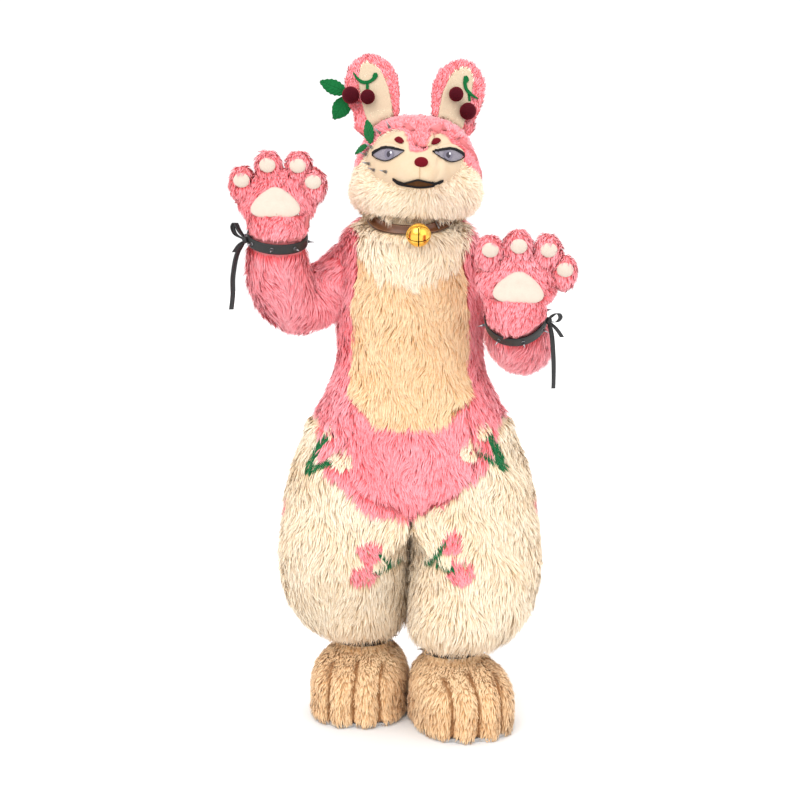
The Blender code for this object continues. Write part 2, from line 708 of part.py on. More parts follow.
def cuffs():
    for arm, name in zip(ARMS, SIDES):
        surface = sleeve(arm)
        middle = (CUFF_START + CUFF_END) / 2
        tie = facing(surface, middle, Vector((arm.side, -0.35, 0)))
        grid = [[(degrees, share) for degrees in around(CUFF_COLUMNS)] for share in (CUFF_START, CUFF_END)]
        spiked_band(f"cuff_{name}", surface, grid, around(8, tie + 22.5))
        room = filled(f"cuff_{name}_room", surface,
                      [[(degrees, share) for degrees in around(CUFF_COLUMNS)]
                       for share in (CUFF_START - 0.02, CUFF_END + 0.012)], STRAP + 2 * SEAM)
        knot_at = surface(tie, middle) + normal(surface, tie, middle) * (STRAP + 0.006)
        ribbon(f"ribbon_{name}", knot_at, RIBBONS[arm.side], room)


def ribbon(name, knot_at, strips, room):
    """A tied ribbon: a knot with a loop and two hanging tails, as one piece."""
    knot = ellipsoid(name, knot_at, (0.009, 0.008, 0.010), satin, suit, segments=10, rings=6)
    parts = [strip(f"{name}_strip_{i}", [knot_at + Vector(point) for point in points])
             for i, points in enumerate(strips)]
    change(knot, "UNION", parts)
    change(knot, "DIFFERENCE", [room])


def strip(name, points):
    """A flat ribbon along a smooth path that starts at the knot."""
    Stop = namedtuple("Stop", "share x y z")
    stops = [Stop(i / (len(points) - 1), *point) for i, point in enumerate(points)]

    def surface(across, share):
        centre = Vector([at(stops, axis, share) for axis in "xyz"])
        return centre + Vector((0.87, 0.50, 0.0)) * RIBBON_WIDTH / 2 * across / 10

    count = len(points)
    grid = [[(across, share) for across in (-10, 10)] for share in rows_between(0, 1, count)]
    made = wall(name, surface, grid, RIBBON / 2, -RIBBON / 2, None)
    move_to_cutters(made)
    return made


def move_to_cutters(thing):
    suit.objects.unlink(thing)
    cutters.objects.link(thing)
    thing.hide_render = True
    thing.display_type = "WIRE"


def paws():
    for arm, name in zip(ARMS, SIDES):
        surface = sleeve(arm)
        ring = [[(degrees, share) for degrees in around(SLEEVE_COLUMNS)]
                for share in (0.848, CUFF_START, 1.0)]
        sleeve_end = filled(f"sleeve_{name}_end", surface, ring, SEAM)
        ring = [[(degrees, share) for degrees in around(SLEEVE_COLUMNS)]
                for share in (0.742, 0.848, CUFF_START, CUFF_END + 0.002)]
        below_cuff = filled(f"sleeve_{name}_below_cuff", surface, ring, 0.05)
        along = (arm.wrist - arm.pull_up).normalized()
        up = arm.hand_up.normalized()
        forward = (Vector((0, -1, 0)) + up * up.y).normalized()
        across = up.cross(forward)
        axes = Matrix((across, forward, up)).transposed()

        def place(lobe_across, lobe_up, lobe_forward):
            return arm.wrist + axes @ Vector((lobe_across, lobe_forward, lobe_up))

        def glove(tag, shrink, where, finish, segments):
            palm = ellipsoid(f"{tag}", place(0.0, PALM_UP, 0.0),
                             [size - shrink for size in PALM], finish, where, axes,
                             segments + 4, segments // 2 + 3)
            wrist = rod(f"{tag}_wrist", arm.wrist - along * (0.010 + shrink * 4),
                        place(0, PALM_UP * 0.7, 0), 0.078 - shrink, 0.072 - shrink,
                        place=cutters, sides=segments)
            bend = ellipsoid(f"{tag}_bend", arm.wrist + up * 0.006, (0.089 - shrink,) * 3,
                             None, cutters, segments=segments + 2, rings=segments // 2 + 1)
            parts = [wrist, bend]
            reach = 1.0 - shrink * FINGER_ROOM
            for i, lobe in enumerate(FINGERS[arm.side]):
                size = lobe.radius - shrink
                root = place(lobe.across * reach, blend(PALM_UP, lobe.up - 0.014, reach),
                             lobe.forward)
                parts.append(ellipsoid(f"{tag}_finger_{i}", root,
                                       (size * 1.06, size, size * 1.42), None, cutters, axes,
                                       segments, segments // 2 + 1))
                if not shrink:
                    parts.append(ellipsoid(f"{tag}_finger_pad_{i}",
                                           place(lobe.across, lobe.up, lobe.forward + size * 0.86),
                                           (0.023, 0.007, 0.021), None, cutters, axes, 8, 4))
            return palm, parts

        paw, lobes = glove(f"paw_{name}", 0.0, suit, pink, 8)
        hollow, hollow_lobes = glove(f"paw_{name}_hollow", GLOVE_WALL, cutters, None, 6)
        change(paw, "UNION", lobes)
        change(paw, "DIFFERENCE", [hollow] + hollow_lobes + [sleeve_end, below_cuff])
        grown, grown_lobes = glove(f"paw_{name}_grown", -SEAM, cutters, None, 8)
        pad = ellipsoid(f"palm_pad_{name}", place(0.0, PALM_UP - 0.012, PALM.y * 0.86),
                        (0.062, 0.018, 0.040), pad_fleece, suit, axes, 12, 7)
        change(pad, "DIFFERENCE", [grown] + grown_lobes + [sleeve_end, below_cuff])


def head_parts():
    columns = HEAD_COLUMNS + [360 - degrees for degrees in reversed(HEAD_COLUMNS[1:-1])]
    seam_row = [at(FACE_SEAM, "row", min(degrees, 360 - degrees)) for degrees in columns]
    lower = [[(degrees, blend(0.0, top - 0.012, share)) for degrees, top in zip(columns, seam_row)]
             for share in rows_between(0.0, 1.0, 8)]
    face = wall("head_face", head, lower, 0.0, -HEAD_WALL, cream, ring=True)
    upper = [[(degrees, blend(low + 0.012, len(HEAD) - 1, share))
              for degrees, low in zip(columns, seam_row)] for share in rows_between(0.0, 1.0, 5)]
    top = head(0, len(HEAD) - 1).lerp(head(180, len(HEAD) - 1), 0.5) + Vector((0, 0, 0.002))
    crown = wall("head_crown", head, upper, 0.0, -HEAD_WALL, pink, ring=True,
                 pole=(top, Vector((0, 0, 1))))
    neck_room = body_shape("neck_shape", BODY_LEVELS[-5:], NECK_GAP)
    collar_room = body_shape("collar_room", BODY_LEVELS[-5:-1], STRAP + 0.003)
    change(face, "DIFFERENCE", [neck_room, collar_room])
    change(crown, "DIFFERENCE", [neck_room, collar_room])
    return filled("head_shape", head, lower + upper, SEAM, pole=top + Vector((0, 0, SEAM)))


def on_face(x, z):
    """The place on the head's surface that lies at x and z, seen from the front."""
    low_row, high_row, low, high = 2.0, 10.5, -88.0, 88.0
    for _ in range(4):
        row = (low_row + high_row) / 2
        for _ in range(18):
            degrees = (low + high) / 2
            if head(degrees, row).x < x:
                low = degrees
            else:
                high = degrees
        low, high = -88.0, 88.0
        low_row, high_row = 2.0, 10.5
        for _ in range(18):
            row = (low_row + high_row) / 2
            if head(degrees, row).z < z:
                low_row = row
            else:
                high_row = row
    return degrees, row


def face_plate(name, outline, thickness, finish, head_shape):
    """A thin piece that lies on the face, from an outline seen from the front."""
    middle = sum((Vector(point) for point in outline), Vector((0, 0))) / len(outline)
    grid = []
    for size in (1.0, 0.5):
        grid.append([on_face(*middle.lerp(Vector(point), size)) for point in outline])
    centre = on_face(*middle)
    made = wall(name, head, grid, thickness, -0.006, finish, ring=True,
                pole=(head(*centre), normal(head, *centre)))
    change(made, "DIFFERENCE", [head_shape])
    return made


def face_parts(head_shape):
    for eye, name in zip(EYES, SIDES):
        outline = []
        for degrees in around(14):
            x, z = math.cos(math.radians(degrees)), math.sin(math.radians(degrees))
            lid = 0.62 if z > 0 else 1.0
            outline.append((eye.x + eye.half_width * x * (1 - 0.15 * abs(z)),
                            eye.z + eye.half_height * z * lid + eye.slant * x))
        face_plate(f"eye_{name}", outline, 0.006, eye_mesh, head_shape)
        outline = [(eye.brow_x + 0.0105 * math.cos(math.radians(degrees)),
                    eye.brow_z + 0.0080 * math.sin(math.radians(degrees)))
                   for degrees in around(8)]
        face_plate(f"brow_{name}", outline, 0.006, velvet, head_shape)
    upper = [(MOUTH.x + MOUTH.half_width * share, MOUTH.z + MOUTH.smile * share ** 2)
             for share in rows_between(-1.0, 1.0, 8)]
    lower = [(MOUTH.x + MOUTH.half_width * share,
              MOUTH.z + MOUTH.smile * share ** 2 - MOUTH.drop * (1 - share ** 2))
             for share in rows_between(0.75, -0.75, 6)]
    face_plate("mouth", upper + lower, 0.009, mouth_felt, head_shape)
    degrees, row = on_face(*NOSE)
    nose = ellipsoid("nose", head(degrees, row), (0.0185, 0.012, 0.0145), velvet, suit,
                     segments=10, rings=6)
    change(nose, "DIFFERENCE", [head_shape])
    for i, (x, z) in enumerate(FACE_SPIKES):
        degrees, row = on_face(x, z)
        out = normal(head, degrees, row)
        spike = rod(f"face_spike_{i + 1}", head(degrees, row) - out * 0.004,
                    head(degrees, row) + out * FACE_SPIKE_LENGTH, SPIKE_RADIUS, SPIKE_TIP,
                    silver, suit, 6)
        change(spike, "DIFFERENCE", [head_shape])


def leaf(name, base, tip, half_width, facing_way, cut_by):
    """A felt leaf with a folded midrib, widest near its base."""
    along = (tip - base)
    across = along.cross(facing_way).normalized()
    out = across.cross(along).normalized()

    def surface(side, share):
        width = half_width * math.sin(math.pi * min(1.0, share * 0.94 + 0.05)) ** 0.8
        fold = 0.10 * width * abs(side) / 10
        bow = 0.04 * along.length * math.sin(math.pi * share)
        return base + along * share + across * width * side / 10 - out * (fold - bow)

    grid = [[(side, share) for side in (-10, 0, 10)] for share in (0.0, 0.15, 0.35, 0.6, 0.82, 1.0)]
    made = wall(name, surface, grid, 0.002, -0.002, felt)
    change(made, "DIFFERENCE", cut_by)


def ears(head_shape):
    for one, name in zip(EARS, SIDES):
        surface = ear(one)
        shares = [row.share for row in EAR]
        rings = [[(degrees, share) for degrees in around(16)] for share in shares]
        shell = filled(f"ear_{name}", surface, rings, 0.0, pole=surface(0, 1.0))
        move_to_suit(shell, pink)
        change(shell, "DIFFERENCE", [head_shape])
        room = filled(f"ear_{name}_room", surface, rings, EAR_PANEL + 2 * SEAM,
                      pole=surface(0, 1.0) + Vector((0, 0, 0.004)))
        grid = [[(degrees, share) for degrees in (-45, -22.5, 0, 22.5, 45)]
                for share in shares[1:5]]
        panel = wall(f"ear_{name}_inner", surface, grid, SEAM + EAR_PANEL, SEAM, cream)
        change(panel, "DIFFERENCE", [head_shape])
        near = [room]
        for i, cherry in enumerate(CHERRIES[one.side]):
            size = cherry.radius
            front = surface(*on_ear(one, cherry.x, cherry.z))
            ball = ellipsoid(f"ear_{name}_cherry_{i + 1}", front + Vector((0, -size * 0.82, 0)),
                             (size, size, size), velvet, suit, segments=10, rings=7)
            change(ball, "DIFFERENCE", [room])
            near.append(ellipsoid(f"ear_{name}_cherry_room_{i + 1}",
                                  front + Vector((0, -size * 0.82, 0)),
                                  (size + SEAM,) * 3, None, cutters, segments=10, rings=7))
        stem(f"ear_{name}_stem", one, STEMS[one.side], near)
        if one.side < 0:
            edge = surface(-90, 0.60)
            skin = filled(f"ear_{name}_skin", surface, rings, SEAM, pole=surface(0, 1.0))
            for row in EAR_LEAVES:
                leaf(f"ear_leaf_{row.name}", edge + Vector(row.base), edge + Vector(row.tip),
                     row.half_width, Vector((0, -1, 0)), [skin] + near[1:])
    for row in TEMPLE_LEAVES:
        place = on_face(*((Vector(row.base) + Vector(row.tip)) / 2))
        out = normal(head, *place)
        middle = head(*place) - out * 0.0006
        along = Vector((row.tip[0] - row.base[0], 0, row.tip[1] - row.base[1]))
        along -= out * along.dot(out)
        leaf(f"temple_leaf_{row.name}", middle - along / 2, middle + along / 2, row.half_width,
             out, [head_shape])


def on_ear(one, x, z):
    """The place on an ear's front that lies at x and z, seen from the front."""
    along = one.tip - one.base
    front = Matrix.Rotation(math.radians(one.turn), 3, "Z") @ Vector((0, -1, 0))
    across = along.cross(front).normalized()
    share = (z - one.base.z) / along.z
    sideways = (x - one.base.x - along.x * share) / across.x
    reach = max(-0.95, min(0.95, sideways / at(EAR, "half_width", share)))
    return math.degrees(math.asin(reach)), share


def stem(name, one, stops, cut_by):
    """A felt cherry stem cut in one piece and laid on an ear."""
    surface = ear(one)
    grid = []
    for i, stop in enumerate(stops):
        before, after = stops[max(0, i - 1)], stops[min(len(stops) - 1, i + 1)]
        along = Vector((after.x - before.x, after.z - before.z)).normalized()
        side = Vector((along.y, -along.x)) * stop.width / 2
        grid.append([on_ear(one, stop.x - side.x, stop.z - side.y),
                     on_ear(one, stop.x + side.x, stop.z + side.y)])
    made = wall(name, surface, grid, EAR_PANEL + 0.0035, 0.0, felt)
    change(made, "DIFFERENCE", cut_by)


def move_to_suit(thing, finish):
    cutters.objects.unlink(thing)
    suit.objects.link(thing)
    thing.hide_render = False
    thing.display_type = "TEXTURED"
    thing.data.materials.append(finish)


def foot_columns():
    return FOOT_COLUMNS + [360 - degrees for degrees in reversed(FOOT_COLUMNS[1:-1])]


def feet():
    columns = foot_columns()
    for stance, name in zip(STANCE, SIDES):
        surface = foot(stance)
        grid = [[(degrees, row) for degrees in columns] for row in range(len(FOOT))]
        wall(f"foot_{name}", surface, grid, 0.0, -FOOT_WALL, tan_fur, ring=True)
        slab(f"sole_{name}", [surface(degrees, 0) for degrees in columns], 0.0,
             SOLE_THICKNESS, sole_rubber)
        grid = [[(degrees, row) for degrees in columns] for row in ANKLE_CUFF_ROWS]
        spiked_band(f"ankle_cuff_{name}", surface, grid, ANKLE_SPIKES)


def slab(name, outline, low, high, finish):
    """A flat plate of one outline, seen from above."""
    b = bmesh.new()
    rings = [[b.verts.new((point.x, point.y, z)) for point in outline] for z in (low, high)]
    count = len(outline)
    for i in range(count):
        j = (i + 1) % count
        b.faces.new((rings[0][i], rings[0][j], rings[1][j], rings[1][i]))
    for ring in rings:
        b.faces.new(ring)
    return finish_mesh(b, name, finish, suit)


def spiked_band(name, surface, grid, spike_degrees):
    """A strap round a surface, with cone spikes riveted along its middle."""
    band = wall(name, surface, grid, SEAM + STRAP, SEAM, black, ring=True)
    middle = (grid[0][0][1] + grid[1][0][1]) / 2
    spikes = []
    for i, degrees in enumerate(spike_degrees):
        out = normal(surface, degrees, middle)
        base = surface(degrees, middle) + out * (SEAM + STRAP / 2)
        tip = base + out * (SPIKE_LENGTH + STRAP / 2)
        spikes.append(rod(f"{name}_spike_{i}", base, tip, SPIKE_RADIUS, SPIKE_TIP,
                          place=cutters, sides=6))
    change(band, "UNION", spikes)
    return band


def facing(surface, share, direction):
    """The degrees at which a ring of a surface looks most in a direction."""
    return max(around(72), key=lambda degrees: normal(surface, degrees, share).dot(direction))


def collar_and_bell():
    grid = []
    for height in BODY_LEVELS[-3:-1]:
        seam = side_seam(height)
        front = [share * seam for share in FRONT_COLUMNS]
        grid.append([(degrees, height) for degrees in front + back_degrees(seam)[1:-1]])
    wall("collar", trunk, grid, SEAM + COLLAR, SEAM, leather, ring=True)
    level = (BODY_LEVELS[-3] + BODY_LEVELS[-2]) / 2
    ends = [collar_front(BELL_X + side * PIN_HALF, level) for side in (-1, 1)]
    pin = Vector((BELL_X, min(ends) - PIN_OUT, BELL_PIN_HEIGHT))
    hanger = bpy.data.curves.new("bell_hanger", "CURVE")
    hanger.dimensions = "3D"
    hanger.bevel_depth = PIN_RADIUS
    hanger.bevel_resolution = 1
    hanger.use_fill_caps = True
    line = hanger.splines.new("POLY")
    line.points.add(3)
    corners = [(-PIN_HALF, ends[0]), (-PIN_HALF, pin.y), (PIN_HALF, pin.y), (PIN_HALF, ends[1])]
    for point, (x, y) in zip(line.points, corners):
        point.co = (pin.x + x, y, pin.z, 1)
    made = bpy.data.objects.new("bell_hanger", hanger)
    hanger.materials.append(silver)
    suit.objects.link(made)
    made.parent = wearer
    buckle()
    bell(pin)


def collar_front(x, level):
    """How far forward the collar's outer face lies at x, less a seam's gap."""
    across = abs(x) / at(TRUNK, "half_width", level)
    front = at(TRUNK, "front", level) * (1 - across ** ROUND) ** (1 / ROUND)
    return -front - COLLAR - 2 * SEAM


def buckle():
    """A square frame buckle that lies on the collar, beside the bell."""
    level, degrees = (BODY_LEVELS[-3] + BODY_LEVELS[-2]) / 2, BUCKLE_DEGREES
    out = normal(trunk, degrees, level)
    across = (trunk(degrees + 1, level) - trunk(degrees - 1, level)).normalized()
    up = out.cross(across)
    centre = trunk(degrees, level) + out * (SEAM + COLLAR + 0.0018)
    frame = box("buckle", centre, across, up, out, (0.013, 0.0125, 0.0022), silver, suit)
    hole = box("buckle_hole", centre, across, up, out, (0.009, 0.0085, 0.01), None, cutters)
    collar_shape = body_shape("collar_shape", BODY_LEVELS[-6:], SEAM + COLLAR + SEAM)
    change(frame, "DIFFERENCE", [hole, collar_shape])


def box(name, centre, across, up, out, half_sizes, finish, place):
    b = bmesh.new()
    bmesh.ops.create_cube(b, size=2.0)
    axes = Matrix((across, up, out)).transposed().to_4x4()
    shape = Matrix.Diagonal((*half_sizes, 1.0))
    bmesh.ops.transform(b, matrix=Matrix.Translation(centre) @ axes @ shape, verts=b.verts)
    return finish_mesh(b, name, finish, place)


def bell(pin):
    """A jingle bell on its eye: a thin ball with a rim and a cross of slits."""
    pivot = bpy.data.objects.new("bell_pivot", None)
    pivot.location = pin
    pivot.parent = wearer
    suit.objects.link(pivot)
    hang = Vector((0, -math.sin(BELL_LEAN), -math.cos(BELL_LEAN)))
    centre = hang * BELL_REACH
    spin = Vector((0, 0, -1)).rotation_difference(hang).to_matrix()
    ball = ellipsoid("bell", centre, (BELL_RADIUS,) * 3, gold, suit, spin, 14, 9)
    rim = rod("bell_rim", centre - hang * 0.0012, centre + hang * 0.0012,
              BELL_RADIUS + 0.0012, BELL_RADIUS + 0.0012, place=cutters, sides=14)
    neck = rod("bell_neck", hang * (EYE_RADIUS + EYE_WIRE * 0.5),
               hang * (BELL_REACH - BELL_RADIUS + 0.002), 0.0022, 0.0030, place=cutters, sides=8)
    b = bmesh.new()
    for i in range(8):
        turn = math.radians(45 * i)
        ring = []
        for k in range(6):
            bend = math.radians(60 * k)
            reach = EYE_RADIUS + EYE_WIRE * math.cos(bend)
            ring.append(b.verts.new((EYE_WIRE * math.sin(bend), reach * math.cos(turn),
                                     reach * math.sin(turn))))
    rows = [b.verts[:][i * 6:i * 6 + 6] for i in range(8)]
    for i in range(8):
        for k in range(6):
            b.faces.new((rows[i][k], rows[(i + 1) % 8][k],
                         rows[(i + 1) % 8][(k + 1) % 6], rows[i][(k + 1) % 6]))
    loop = finish_mesh(b, "bell_eye", None, cutters)
    hollow = ellipsoid("bell_hollow", centre, (BELL_RADIUS - BELL_WALL,) * 3, None, cutters,
                       spin, 12, 8)
    slits = []
    for i, half_sizes in enumerate(((SLIT / 2, 0.05, 0.016), (0.05, SLIT / 2, 0.016))):
        x, y, z = (spin @ Vector(axis) for axis in ((1, 0, 0), (0, 1, 0), (0, 0, 1)))
        slits.append(box(f"bell_slit_{i}", centre + hang * 0.026, x, y, z, half_sizes, None,
                         cutters))
    change(ball, "UNION", [rim, neck, loop])
    change(ball, "DIFFERENCE", [hollow] + slits)
    for piece in [ball, rim, neck, loop, hollow] + slits:
        piece.parent = pivot


def build():
    sleeves()
    bodysuit_front()
    trunk_back()
    legs()
    cuffs()
    paws()
    head_shape = head_parts()
    ears(head_shape)
    face_parts(head_shape)
    collar_and_bell()
    feet()


clear_scene()
suit = collection("rabbit_costume")
cutters = collection("cutters")
wearer = bpy.data.objects.new("wearer_shoulders", None)
wearer.location = (0, 0, -HOLD_HEIGHT)
suit.objects.link(wearer)
pink = material("pink_fur", PINK)
cream = material("cream_fur", CREAM)
peach = material("peach_fur", PEACH)
tan_fur = material("tan_fur", TAN)
pad_fleece = material("pad_fleece", PAD)
black = material("black_strap", BLACK, 0.5)
satin = material("black_satin", BLACK, 0.35)
felt = material("green_felt", GREEN)
velvet = material("cherry_velvet", CHERRY)
leather = material("brown_leather", LEATHER, 0.5)
silver = material("silver_metal", SILVER, 0.2, 1.0)
gold = material("gold_metal", GOLD, 0.2, 1.0)
eye_mesh = material("eye_mesh", GREY, 0.4)
mouth_felt = material("mouth_felt", LEATHER)
sole_rubber = material("sole_rubber", SOLE, 0.8)
build()
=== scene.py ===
# Dresses the rabbit costume: fur, velvet, felt, leather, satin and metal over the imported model.
import math

import bmesh
import bpy
import numpy as np
from mathutils import Matrix, Vector
from mathutils.bvhtree import BVHTree
from mathutils.kdtree import KDTree


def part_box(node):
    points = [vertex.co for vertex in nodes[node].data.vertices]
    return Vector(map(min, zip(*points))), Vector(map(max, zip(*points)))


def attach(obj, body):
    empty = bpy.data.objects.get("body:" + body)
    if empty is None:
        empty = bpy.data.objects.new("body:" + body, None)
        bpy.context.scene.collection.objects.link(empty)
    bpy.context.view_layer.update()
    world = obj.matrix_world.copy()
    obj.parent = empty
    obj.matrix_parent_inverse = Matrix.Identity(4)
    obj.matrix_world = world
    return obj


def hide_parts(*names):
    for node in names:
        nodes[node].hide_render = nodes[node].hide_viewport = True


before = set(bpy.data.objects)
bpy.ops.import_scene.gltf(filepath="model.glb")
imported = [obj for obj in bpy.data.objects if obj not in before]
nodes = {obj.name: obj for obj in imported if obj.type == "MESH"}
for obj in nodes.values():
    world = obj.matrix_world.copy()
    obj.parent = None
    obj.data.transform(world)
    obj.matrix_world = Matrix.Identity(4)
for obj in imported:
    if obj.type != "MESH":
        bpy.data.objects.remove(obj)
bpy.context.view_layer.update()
# The frame's origin lies this far above the floor.
shoulderHeight = 1.40
floorHeight = -shoulderHeight
print("frame loaded")


def operator(kind, swapped=False):
    def apply(self, other=0.0):
        first, second = (other, self) if swapped else (self, other)
        return self.paint.node("ShaderNodeMath", {"operation": kind}, {0: first, 1: second})

    return apply


class Shade:
    # A shader value that takes part in sums as a number does.
    def __init__(self, paint, socket):
        self.paint, self.socket = paint, socket

    __abs__, sine = operator("ABSOLUTE"), operator("SINE")
    __add__ = __radd__ = operator("ADD")
    __mul__ = __rmul__ = operator("MULTIPLY")
    __sub__, __rsub__ = operator("SUBTRACT"), operator("SUBTRACT", True)
    __gt__, __lt__ = operator("GREATER_THAN"), operator("LESS_THAN")


class Paint:
    def __init__(self, name, roughness=0.8, metallic=0.0, sheen=0.0, coat=0.0):
        self.material = bpy.data.materials.new(name)
        self.material.use_nodes = True
        self.tree = self.material.node_tree
        self.shader = self.tree.nodes["Principled BSDF"]
        for socket, value in (("Roughness", roughness), ("Metallic", metallic),
                              ("Sheen Weight", sheen), ("Coat Weight", coat),
                              ("Specular IOR Level", 0.5 if metallic or coat else 0.15)):
            self.set(socket, value)

    def set(self, name, value):
        self.join(self.shader.inputs[name], value)

    def join(self, socket, value):
        if isinstance(value, Shade):
            self.tree.links.new(value.socket, socket)
        elif isinstance(value, tuple) and len(value) == 3 and socket.type == "RGBA":
            socket.default_value = (*value, 1.0)
        else:
            socket.default_value = value

    def node(self, kind, settings=None, inputs=None, output=0):
        made = self.tree.nodes.new(kind)
        for key, value in (settings or {}).items():
            setattr(made, key, value)
        for key, value in (inputs or {}).items():
            self.join(made.inputs[key], value)
        return Shade(self, made.outputs[output])

    def split(self, vector):
        made = self.tree.nodes.new("ShaderNodeSeparateXYZ")
        self.join(made.inputs[0], vector)
        return [Shade(self, made.outputs[i]) for i in range(3)]

    def place(self):
        return self.node("ShaderNodeTexCoord", output="Object")

    def pattern(self, kind, scale, settings=None, **inputs):
        return self.node("ShaderNodeTex" + kind, settings,
                         {"Vector": self.place(), "Scale": scale, **inputs})

    def noise(self, scale, detail=2.0):
        return self.pattern("Noise", scale, Detail=detail)

    def mix(self, factor, first, second, kind="MIX"):
        return self.node("ShaderNodeMix", {"data_type": "RGBA", "blend_type": kind,
                                           "clamp_factor": True},
                         {0: factor, 6: first, 7: second}, 2)

    def bump(self, height, strength, distance=0.001):
        inputs = {"Height": height, "Strength": strength, "Distance": distance}
        self.set("Normal", self.node("ShaderNodeBump", inputs=inputs))


def grey(value):
    return (value, value, value)


# Colours of each pile from root to tip, and the pile that is sewn, dyed or painted as shade into
# it.
# The darker roots are partly painted shade deep in the pile, and the paler tips are partly painted
# sheen.
furColours = {
    "pink": {"root": (0.97, 0.085, 0.10), "tip": (1.00, 0.45, 0.50), "other": "cream"},
    "cream": {"root": (0.90, 0.64, 0.36), "tip": (0.99, 0.89, 0.73), "other": "pink"},
    "peach": {"root": (0.86, 0.42, 0.15), "tip": (0.96, 0.75, 0.49), "other": "cream"},
    "tan": {"root": (0.74, 0.38, 0.15), "tip": (0.96, 0.72, 0.45), "other": "groove"},
    # Painted shade: the groove colours darken the tan pile in the grooves between the toes.
    "groove": {"root": (0.25, 0.09, 0.03), "tip": (0.50, 0.24, 0.09), "other": "tan"},
}
stemGreen = (0.01, 0.16, 0.05)


def furPaint(name, colours):
    paint = Paint(name + "Fur", roughness=0.8, sheen=0.22)
    own, along, _ = paint.split(paint.node("ShaderNodeUVMap", {"uv_map": "strand"}))
    patch = paint.node("ShaderNodeAttribute", {"attribute_name": "patch"})
    berry, stem, shade = paint.split(patch)
    blotch = paint.noise(7.0)
    streak = paint.noise(160.0)
    depth = along + (own - 0.5) * 0.35 + (blotch - 0.5) * 0.7 + (streak - 0.5) * 0.4
    ground = paint.mix(depth, colours["root"], colours["tip"])
    other = furColours[colours["other"]]
    ground = paint.mix(abs(shade - berry), ground, paint.mix(depth, other["root"],
                                                             other["tip"]))
    ground = paint.mix(stem, ground, stemGreen)
    # Painted shade: each lock is darker towards its root. Locks also differ in brightness at
    # random.
    light = along * 0.08 + own * 0.10 + 0.88
    paint.set("Base Color", paint.mix(1.0, ground, paint.mix(light, grey(0.0), grey(1.0)),
                                      "MULTIPLY"))
    return paint.material


def backingPaint(name, colours):
    # The woven ground, or the short pile where no long locks stand.
    paint = Paint(name + "Backing", roughness=0.9, sheen=0.1)
    _, _, zone = paint.split(paint.node("ShaderNodeAttribute", {"attribute_name": "patch"}))
    nap = paint.noise(420.0, 3.0)
    cloud = paint.noise(28.0, 2.0)
    other = furColours[colours["other"]]
    share = nap * 0.4 + cloud * 0.4 + 0.15
    cover = paint.mix(zone, paint.mix(share, colours["root"], colours["tip"]),
                      paint.mix(share, other["root"], other["tip"]))
    paint.set("Base Color", paint.mix(1.0, cover, (0.66, 0.62, 0.58), "MULTIPLY"))
    paint.bump(nap + cloud * 0.5, 0.6, 0.0012)
    return paint.material


def velvetPaint(name, dark, rim):
    # Layer Weight gives the sheen that a velvet's rim has.
    paint = Paint(name, roughness=0.9)
    edge = paint.node("ShaderNodeLayerWeight", inputs={"Blend": 0.3}, output="Facing")
    nap = paint.noise(420.0, 1.0)
    paint.set("Base Color", paint.mix(edge * edge + (nap - 0.5) * 0.4, dark, rim))
    paint.bump(nap, 0.5, 0.0008)
    return paint.material


def feltPaint(name, dark, light):
    paint = Paint(name, roughness=0.92, sheen=0.1)
    fibre = paint.noise(330.0, 4.0)
    cloud = paint.noise(40.0, 2.0)
    paint.set("Base Color", paint.mix(fibre * 0.7 + cloud * 0.4, dark, light))
    paint.bump(fibre, 0.6, 0.0008)
    return paint.material


def leatherPaint(name, dark, light, roughness):
    paint = Paint(name, roughness=roughness, coat=0.04)
    grain = paint.pattern("Voronoi", 620.0)
    wear = paint.noise(55.0, 3.0)
    paint.set("Base Color", paint.mix(wear, dark, light))
    paint.set("Roughness", wear * 0.25 + (roughness - 0.1))
    paint.bump(grain, 0.35, 0.0005)
    return paint.material


def metalPaint(name, dark, light, roughness):
    paint = Paint(name, roughness=roughness, metallic=1.0)
    tarnish = paint.noise(90.0, 4.0)
    paint.set("Base Color", paint.mix(tarnish, dark, light))
    paint.set("Roughness", tarnish * 0.16 + roughness)
    return paint.material


def satinPaint():
    paint = Paint("blackSatin", roughness=0.45, coat=0.03)
    weave = paint.pattern("Wave", 620.0, {"bands_direction": "Z"}, Distortion=1.0)
    paint.set("Base Color", paint.mix(weave, (0.003, 0.003, 0.0035), (0.012, 0.012, 0.013)))
    paint.bump(weave, 0.2, 0.0004)
    return paint.material


def fleecePaint():
    paint = Paint("padFleece", roughness=0.88, sheen=0.3)
    pile = paint.noise(480.0, 3.0)
    cloud = paint.noise(60.0, 2.0)
    paint.set("Base Color", paint.mix(pile * 0.6 + cloud * 0.5, (0.52, 0.43, 0.36),
                                      (0.66, 0.58, 0.49)))
    paint.bump(pile, 0.7, 0.001)
    return paint.material


def eyePaint():
    paint = Paint("eyeMesh", roughness=0.45, coat=0.1)
    holes = paint.pattern("Voronoi", 900.0, Randomness=0.0)
    cloud = paint.noise(70.0, 1.0)
    ground = paint.mix(cloud, (0.20, 0.18, 0.22), (0.34, 0.31, 0.36))
    paint.set("Base Color", paint.mix(holes > 0.55, ground, (0.10, 0.09, 0.11)))
    paint.bump(holes, 0.3, 0.0004)
    return paint.material


def plainPaint(name, dark, light, roughness, scale=120.0):
    paint = Paint(name, roughness=roughness)
    grain = paint.noise(scale, 3.0)
    paint.set("Base Color", paint.mix(grain, dark, light))
    paint.bump(grain, 0.3, 0.0006)
    return paint.material


